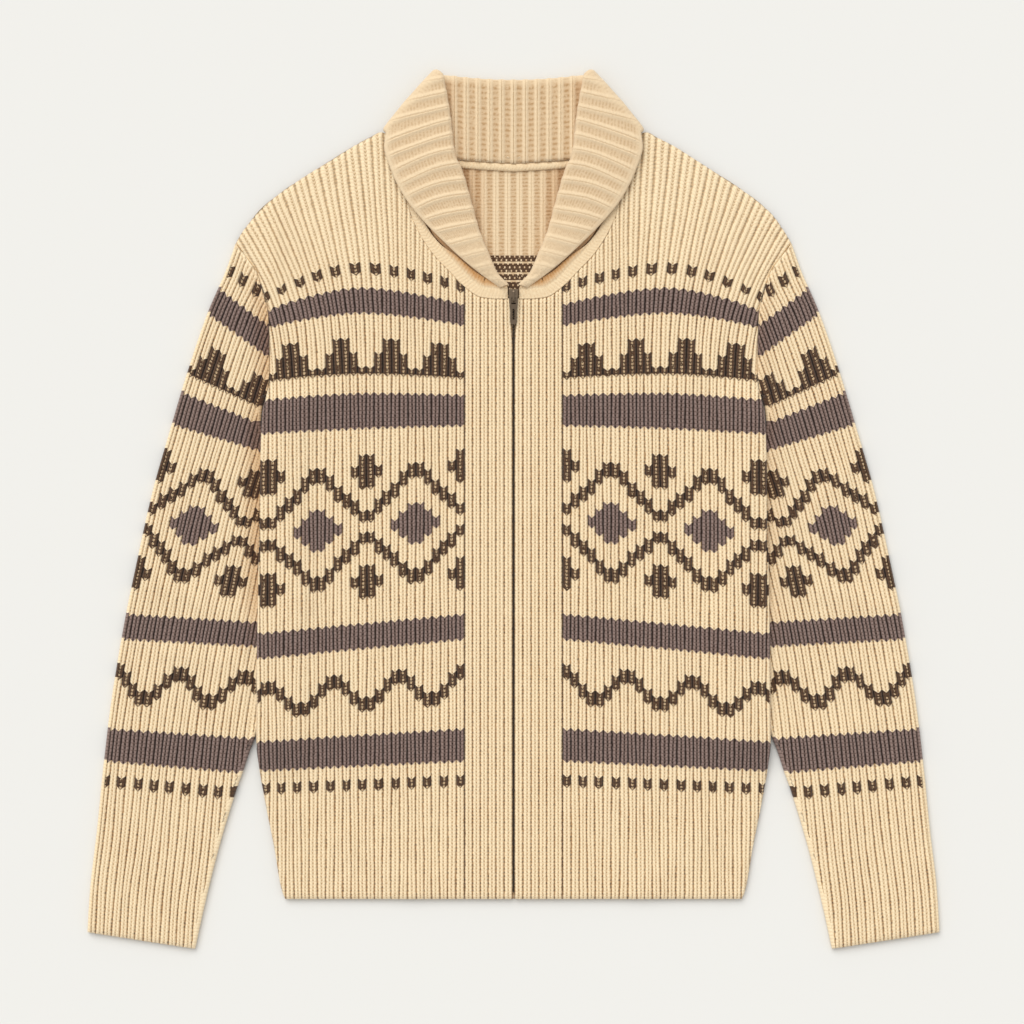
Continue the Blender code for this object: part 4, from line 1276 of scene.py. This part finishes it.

# %% [markdown]
# ## The yarns
# Each yarn has a colour for its strands and a deeper one, which is painted shade: it goes into the valleys
# and troughs, where light that gets in between two strands comes back warmer and darker. The cream's deeper
# colour also gives the plain strips a little random tone, and `WARM_SHADE` is the painted shade between two
# layers of wool. The dark strands carried behind the colourwork show inside the neck, in the rows of
# `FLOAT_ROWS`. A picture of yarn would be quicker, but it would bring its own light along and blur close up.

# %% Colours of the yarns
CREAM = (0.86, 0.70, 0.46, 1.0)
CREAM_SHADE_AND_TONE = (0.36, 0.19, 0.066, 1.0)
CREAM_DEEPEST_SHADE = (0.085, 0.040, 0.014, 1.0)
REVERSE_CREAM = (0.745, 0.580, 0.375, 1.0)
GREY = (0.250, 0.174, 0.148, 1.0)
GREY_IN_SHADE = (0.022, 0.009, 0.004, 1.0)
DARK = (0.085, 0.043, 0.020, 1.0)
DARK_IN_SHADE = (0.018, 0.009, 0.004, 1.0)
WARM_SHADE = (0.60, 0.36, 0.17, 1.0)
FLOAT_ROWS = [(167.0, 172.4), (172.9, 174.6), (175.1, 177.6), (178.1, 179.8)]
FLOATS_HALF = 2.6
FIBRE_SCALE, PATCH_SCALE = 1100.0, 30.0
WOOL_SHEEN, WOOL_SHINE = 0.2, 0.12
BUMP_DEPTH = 0.0007
print(len(FLOAT_ROWS), "runs of dark strands, over", 2 * FLOATS_HALF, "ribs of the back")

# %% [markdown]
# ## Parts that every material shares
# `new_material` makes a plain finish. `cloth_shader` adds what wool needs: little shine, a soft sheen, and
# the rib and row of each point, with how much of the rib shows and how much painted shade it gets, read
# from its UV maps. `finish_cloth` ends every wool material the same way, and multiplies in the painted
# shade.


# %% Helpers for the materials
def new_material(name, colour, roughness=0.9, metallic=0.0):
    material = bpy.data.materials.new(name)
    material.use_nodes = True
    shader = material.node_tree.nodes["Principled BSDF"]
    shader.inputs["Base Color"].default_value = colour
    shader.inputs["Roughness"].default_value = roughness
    shader.inputs["Metallic"].default_value = metallic
    return material, material.node_tree, shader


def mixed(tree, share, low, high, blend="MIX"):
    node = tree.nodes.new("ShaderNodeMix")
    node.data_type, node.blend_type = "RGBA", blend
    tree.links.new(share.socket, node.inputs["Factor"])
    for socket, value in ((node.inputs["A"], low), (node.inputs["B"], high)):
        target = [s for s in node.inputs if s.name == socket.name and s.type == "RGBA"][0]
        if hasattr(value, "links"):
            tree.links.new(value, target)
        else:
            target.default_value = value
    return [s for s in node.outputs if s.type == "RGBA"][0]


def noise(tree, scale, detail=2.0):
    """A noise on Object coordinates, so that it stays in place on the wool."""
    place = tree.nodes.new("ShaderNodeTexCoord")
    node = tree.nodes.new("ShaderNodeTexNoise")
    node.inputs["Scale"].default_value = scale
    node.inputs["Detail"].default_value = detail
    tree.links.new(place.outputs["Object"], node.inputs["Vector"])
    return Wire(tree, node.outputs[0])


def cloth_shader(name):
    """A wool material, with its rib and row, and its rib share and painted shade, as wires."""
    material, tree, shader = new_material(name, CREAM, 0.92)
    shader.inputs["Sheen Weight"].default_value = WOOL_SHEEN
    shader.inputs["Sheen Roughness"].default_value = 0.6
    shader.inputs["Specular IOR Level"].default_value = WOOL_SHINE
    wires = []
    for map_name in ("knit", "finish"):
        uv = tree.nodes.new("ShaderNodeUVMap")
        uv.uv_map = map_name
        parts = tree.nodes.new("ShaderNodeSeparateXYZ")
        tree.links.new(uv.outputs[0], parts.inputs[0])
        wires += [Wire(tree, parts.outputs["X"]), Wire(tree, parts.outputs["Y"])]
    return material, tree, shader, wires


def finish_cloth(tree, shader, colour, painted_shade_and_tone, height):
    """Multiplies in the painted warm shade, with the random tone of the fibres, and joins the colour and the
    bump to the shader.
    """
    colour = mixed(tree, painted_shade_and_tone, colour, WARM_SHADE, "MULTIPLY")
    tree.links.new(colour, shader.inputs["Base Color"])
    bump = tree.nodes.new("ShaderNodeBump")
    bump.inputs["Distance"].default_value = BUMP_DEPTH
    bump.inputs["Strength"].default_value = 0.6
    tree.links.new(height.socket, bump.inputs["Height"])
    tree.links.new(bump.outputs[0], shader.inputs["Normal"])


print("wool has a sheen of", WOOL_SHEEN, "and a bump of", BUMP_DEPTH / MM, "mm")

# %% [markdown]
# ## The ribbed knit
# The valleys between ribs get a painted warm shade, the troughs on the ribs are dotted with painted shade,
# and each stitch ends in a notch of painted shade. A fine noise makes the edges ragged, as fibres do. Where
# the chart says so, the stitch is grey or dark, and a speck of cream shows through the dark ones. Up at the
# shoulder the wool is stretched, and the painted shade of its valleys is paler.

# %% Make the ribbed wool
SHOULDER_PALER_ROWS = (182.0, 166.0)


def panel_knit_material(name, coloured):
    material, tree, shader, (u, v, _, painted_shade_and_tone) = cloth_shader(name)
    rib, row = u.floor(), v.floor()
    fuzz, patches, ragged = noise(tree, FIBRE_SCALE), noise(tree, PATCH_SCALE), noise(tree, 330.0, 1.0)
    swayed = u + (ragged - 0.5) * 0.20
    place, height = swayed - swayed.floor(), v - row
    middle = abs(place - 0.5)
    bead = (height * (2 * math.pi)).maths("COSINE") * -0.5 + 0.5
    low_down = v.ramp(*SHOULDER_PALER_ROWS) * 0.25 + 0.75
    # Painted shade: the valleys, the dotted troughs and the notches are mixed towards the colours in shade.
    valley = middle.ramp(0.355, 0.46)
    trough = middle.ramp(0.15, 0.05) * bead.ramp(0.10, 0.80)
    stitch = ((v + middle * 1.6) * math.pi).sine()
    notch = abs(stitch).ramp(0.55, 0.05) * middle.ramp(0.44, 0.36)
    beaded = bead.ramp(0.1, 0.8) * (ragged.ramp(0.30, 0.58) * low_down)
    cream_valley = mixed(tree, beaded, CREAM_SHADE_AND_TONE, CREAM_DEEPEST_SHADE)
    colour = mixed(tree, valley * low_down * (patches * 0.4 + 0.66), CREAM, cream_valley)
    colour = mixed(tree, trough * 0.66, colour, CREAM_SHADE_AND_TONE)
    if coloured:
        speck = (middle < 0.11) * (abs(height - 0.5) < 0.30) * (ragged > 0.42)
        wide = any_of(middle.ramp(0.32, 0.46), middle.ramp(0.17, 0.05) * (bead * 0.5 + 0.5))
        grey = mixed(tree, any_of(wide, notch * 0.62), GREY, GREY_IN_SHADE)
        dark = mixed(tree, any_of(valley, notch * 0.6), DARK, DARK_IN_SHADE)
        colour = mixed(tree, grey_stitches(rib, row), colour, grey)
        colour = mixed(tree, dark_stitches(rib, row) * (speck * -1.0 + 1.0), colour, dark)
    fibre_tone_and_painted_shade = (fuzz - 0.5) * 0.5 + (patches - 0.5) * 0.2 + notch * 0.30 + painted_shade_and_tone
    finish_cloth(tree, shader, colour, fibre_tone_and_painted_shade.at_least(0.0), abs(stitch) * 0.55 + fuzz * 0.8)
    return material


panel_knit = panel_knit_material("cream and brown rib", coloured=True)
band_knit = panel_knit_material("cream rib", coloured=False)
print("made", panel_knit.name, "and", band_knit.name)

# %% [markdown]
# ## The wrong side and the plain strips
# The collar and the inside of the back show the wrong side of the rib: thin light pairs with broad textured
# troughs. The troughs are painted darker as shade, more so inside the back and where the rib share or the
# painted warm shade is larger, and inside the neck they are crossed by the dark strands. The edging and the
# neck tape are plain small loops, with a little painted shade between the loops.


# %% Make the other wool
def reverse_knit_material(name, floats):
    material, tree, shader, (u, v, shows, painted_shade_and_tone) = cloth_shader(name)
    fuzz, patches, ragged = noise(tree, FIBRE_SCALE), noise(tree, PATCH_SCALE), noise(tree, 420.0, 1.0)
    swayed = u + (ragged - 0.5) * 0.08
    from_crest = abs(swayed - (swayed + 0.5).floor()) * 2.0
    purl = ((v * (2 * math.pi)).sine() * 0.5 + 0.5) * ragged.ramp(0.30, 0.62)
    # Painted shade: the troughs are mixed towards the cream in shade.
    broad = from_crest.ramp(0.30, 0.72) * (purl * 0.55 + 0.45) * shows
    split = from_crest.ramp(0.12, 0.03) * 0.4 * shows
    depth = painted_shade_and_tone * 0.35 + (0.78 if floats else 0.52)
    colour = mixed(tree, any_of(broad * depth, split), REVERSE_CREAM, CREAM_SHADE_AND_TONE)
    if floats:
        lines = any_of(*[v.between(low, high) for low, high in FLOAT_ROWS])
        lines = lines * (abs(u - 0.5) < FLOATS_HALF)
        dashes = (u * 15.0 + v.floor() * 2.1).sine().ramp(0.5, 0.8) * (abs((v % 1.0) - 0.5) < 0.26)
        colour = mixed(tree, lines * (ragged > 0.31) * (dashes * -1.0 + 1.0), colour, DARK)
    fibre_tone_and_painted_shade = (fuzz - 0.5) * 0.5 + (patches - 0.5) * 0.2 + painted_shade_and_tone
    finish_cloth(tree, shader, colour, fibre_tone_and_painted_shade.at_least(0.0), purl * 0.5 + fuzz * 0.9)
    return material


def plain_knit_material(name):
    material, tree, shader, (u, v, shows, painted_shade_and_tone) = cloth_shader(name)
    fuzz, patches, ragged = noise(tree, FIBRE_SCALE), noise(tree, PATCH_SCALE), noise(tree, 420.0, 1.0)
    loops = abs(((v + abs(u - 1.0) * 0.7) * math.pi).sine())
    # Painted shade between the loops, with the random tone of the fibres.
    fibre_tone_and_painted_shade = (fuzz - 0.5) * 0.5 + (loops * -0.25 + 0.2) * shows + (ragged - 0.5) * 0.3 + painted_shade_and_tone
    colour = mixed(tree, patches * 0.12 + 0.02, CREAM, CREAM_SHADE_AND_TONE)
    finish_cloth(tree, shader, colour, fibre_tone_and_painted_shade.at_least(0.0), loops * shows + fuzz)
    return material


collar_knit = reverse_knit_material("cream collar rib", floats=False)
inside_knit = reverse_knit_material("inside of the rib", floats=True)
plain_knit = plain_knit_material("plain cream strip")
print("made", ", ".join(one.name for one in (collar_knit, inside_knit, plain_knit)))

# %% [markdown]
# ## The zip's finishes
# The tape is black cloth, which hardly reflects. The teeth are dark with a little metal in them, and the
# slider and its tab are brushed metal with an antique finish. They are plain, because the pieces are too
# small to show more.

# %% Make the tape and the metal
tape_black = new_material("black zip tape", (0.012, 0.010, 0.008, 1))[0]
teeth_dark = new_material("dark teeth", (0.030, 0.020, 0.011, 1), 0.5, 0.5)[0]
antique = new_material("antique zip metal", (0.150, 0.110, 0.074, 1), 0.34, 0.9)[0]
print("made", ", ".join(one.name for one in (tape_black, teeth_dark, antique)))

# %% [markdown]
# ## Dressing the frame
# Every piece gets its material, moves with the garment's body, and has the solid that it stands for hidden.
# The zip's tapes, slider and tab need no new shape, so their solids are shown with a finish on them.

# %% Dress every piece
TEETH_BELOW_CHAIN_TOP = 0.001
teeth = from_tree(
    "zip_teeth", zip_tree,
    {"Length": (CHAIN_Y[1] - CHAIN_Y[0]) * MM, "Step": TOOTH_STEP / 2 * MM, "Material": teeth_dark},
    (0, CHAIN_Y[1] * MM - TEETH_BELOW_CHAIN_TOP, (CHAIN_Z[0] + CHAIN_Z[1]) / 2 * MM),
)


def dress(piece, material, *nodes, slot="knit", lining=None):
    if piece.data.materials:
        piece.data.materials.clear()
    piece.data.materials.append(material)
    piece.data.materials.append(lining or material)
    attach(piece, "garment")
    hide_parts(*nodes)


for pair, material, kind in (
    (fronts, panel_knit, "front"), (bands, band_knit, "front_band"),
    (sleeves, panel_knit, "sleeve"), (edgings, plain_knit, "neck_edging"),
):
    for piece, wearer in zip(pair, ("right", "left")):
        dress(piece, material, wearer + "_" + kind)
dress(back_panel, inside_knit, "back", lining=panel_knit)
dress(collar_piece, collar_knit, "collar")
dress(tape_piece, plain_knit, "neck_tape")
dress(teeth, teeth_dark, "zip_chain", slot="zip_teeth")
for node, material in (
    ("zip_tape_left", tape_black), ("zip_tape_right", tape_black),
    ("zip_slider", antique), ("zip_pull", antique),
):
    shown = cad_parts[node]
    shown.data.materials.clear()
    shown.data.materials.append(material)
print("the solids that show are dressed too")

# %% [markdown]
# ## The cut of the cloth
# A pattern cutter needs the flat size of each piece. The lining has no ribs, so its area is that of the
# cut, and the width and length are those of the smallest rectangle of knit that it could be cut from.


def cut(piece, width, length, *under, joined=()):
    """Prints the width and length of the cut and how much of it the lining uses; the pieces under it are not
    used.
    """
    areas = np.empty(len(piece.data.polygons))
    piece.data.polygons.foreach_get("area", areas)
    linings = np.empty(len(areas), int)
    piece.data.polygons.foreach_get("material_index", linings)
    area = float(areas[linings == 1].sum())
    print(f"{piece.name}: cut {width} x {length} mm, {area / (width * length * MM * MM):.2f} of it used")
    width * MM
    length * MM


for piece, tape in zip(bands, ("zip_tape_right", "zip_tape_left")):
    cut(piece, 44, 566, "knit_back", joined=[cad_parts[tape]])
for piece in fronts:
    cut(piece, 212, 708, "knit_back", "knit_sleeve_right", "knit_sleeve_left")
for piece in sleeves:
    cut(piece, 300, 655, "floor")
for piece in edgings:
    cut(piece, 19.5, 216, "knit_front_right", "knit_front_left")
cut(back_panel, 514, 708, "floor", joined=[tape_piece])
cut(collar_piece, 640, 190, "knit_back", "knit_front_right", "knit_front_left")

# %% [markdown]
# ## The floor
# The cardigan was laid out on a pale surface. The floor is a hair below the cloth, so that the two never
# share a place. A plain backdrop colour would be simpler, but a floor also takes the cloth's soft shadow.

# %% Lay the floor
FLOOR_BELOW = 0.0004
bpy.ops.mesh.primitive_plane_add(size=8, location=(0, 0, -FLOOR_BELOW))
floor = bpy.context.object
floor.name = "floor"
floor.data.materials.append(new_material("floor", (0.711, 0.702, 0.668, 1), 0.95)[0])
print("the floor is", floor.dimensions.x, "m wide")

# %% [markdown]
# ## The light
# The photo's shadows are faint and soft: an even sky does most of the work, and one broad soft sun beyond
# the collar, a little to the left, brings out the ribs. One small lamp would be simpler, but its shadows
# would be hard.

# %% Set the sky and the sun
SKY = 0.744
SUN, SUN_SPREAD = 2.04, 50
SUN_RAY = (0.35, -0.75, -1.0)
scene = bpy.context.scene
world = bpy.data.worlds.new("studio")
scene.world = world
world.use_nodes = True
world.node_tree.nodes["Background"].inputs["Color"].default_value = (1.0, 1.0, 1.0, 1)
world.node_tree.nodes["Background"].inputs["Strength"].default_value = SKY
scene.view_settings.view_transform = "Standard"

lamp_data = bpy.data.lights.new("soft sun", "SUN")
lamp_data.angle = math.radians(SUN_SPREAD)
lamp_data.energy = SUN
lamp = bpy.data.objects.new("soft sun", lamp_data)
lamp.rotation_euler = Vector(SUN_RAY).to_track_quat("-Z", "Y").to_euler()
scene.collection.objects.link(lamp)
print("sky", SKY, "and sun", SUN)

# %% [markdown]
# ## The camera
# A long lens straight above keeps the sides of the garment from leaning, as in the photo. An orthographic
# camera would show almost the same, and a photographer would use the lens.

# %% Set the camera
PHOTO_WIDTH = 0.942
LENS = 100
CAMERA_X, CAMERA_Y = -0.0014, -0.0023
CLOTH_TOP = 0.01
camera_data = bpy.data.cameras.new("camera")
camera_data.lens = LENS
camera = bpy.data.objects.new("camera", camera_data)
camera.location = (CAMERA_X, CAMERA_Y, PHOTO_WIDTH * LENS / camera_data.sensor_width + CLOTH_TOP)
scene.collection.objects.link(camera)
scene.camera = camera
print("the camera is", round(camera.location.z, 2), "m above the floor")

# %% [markdown]
# ## Finish
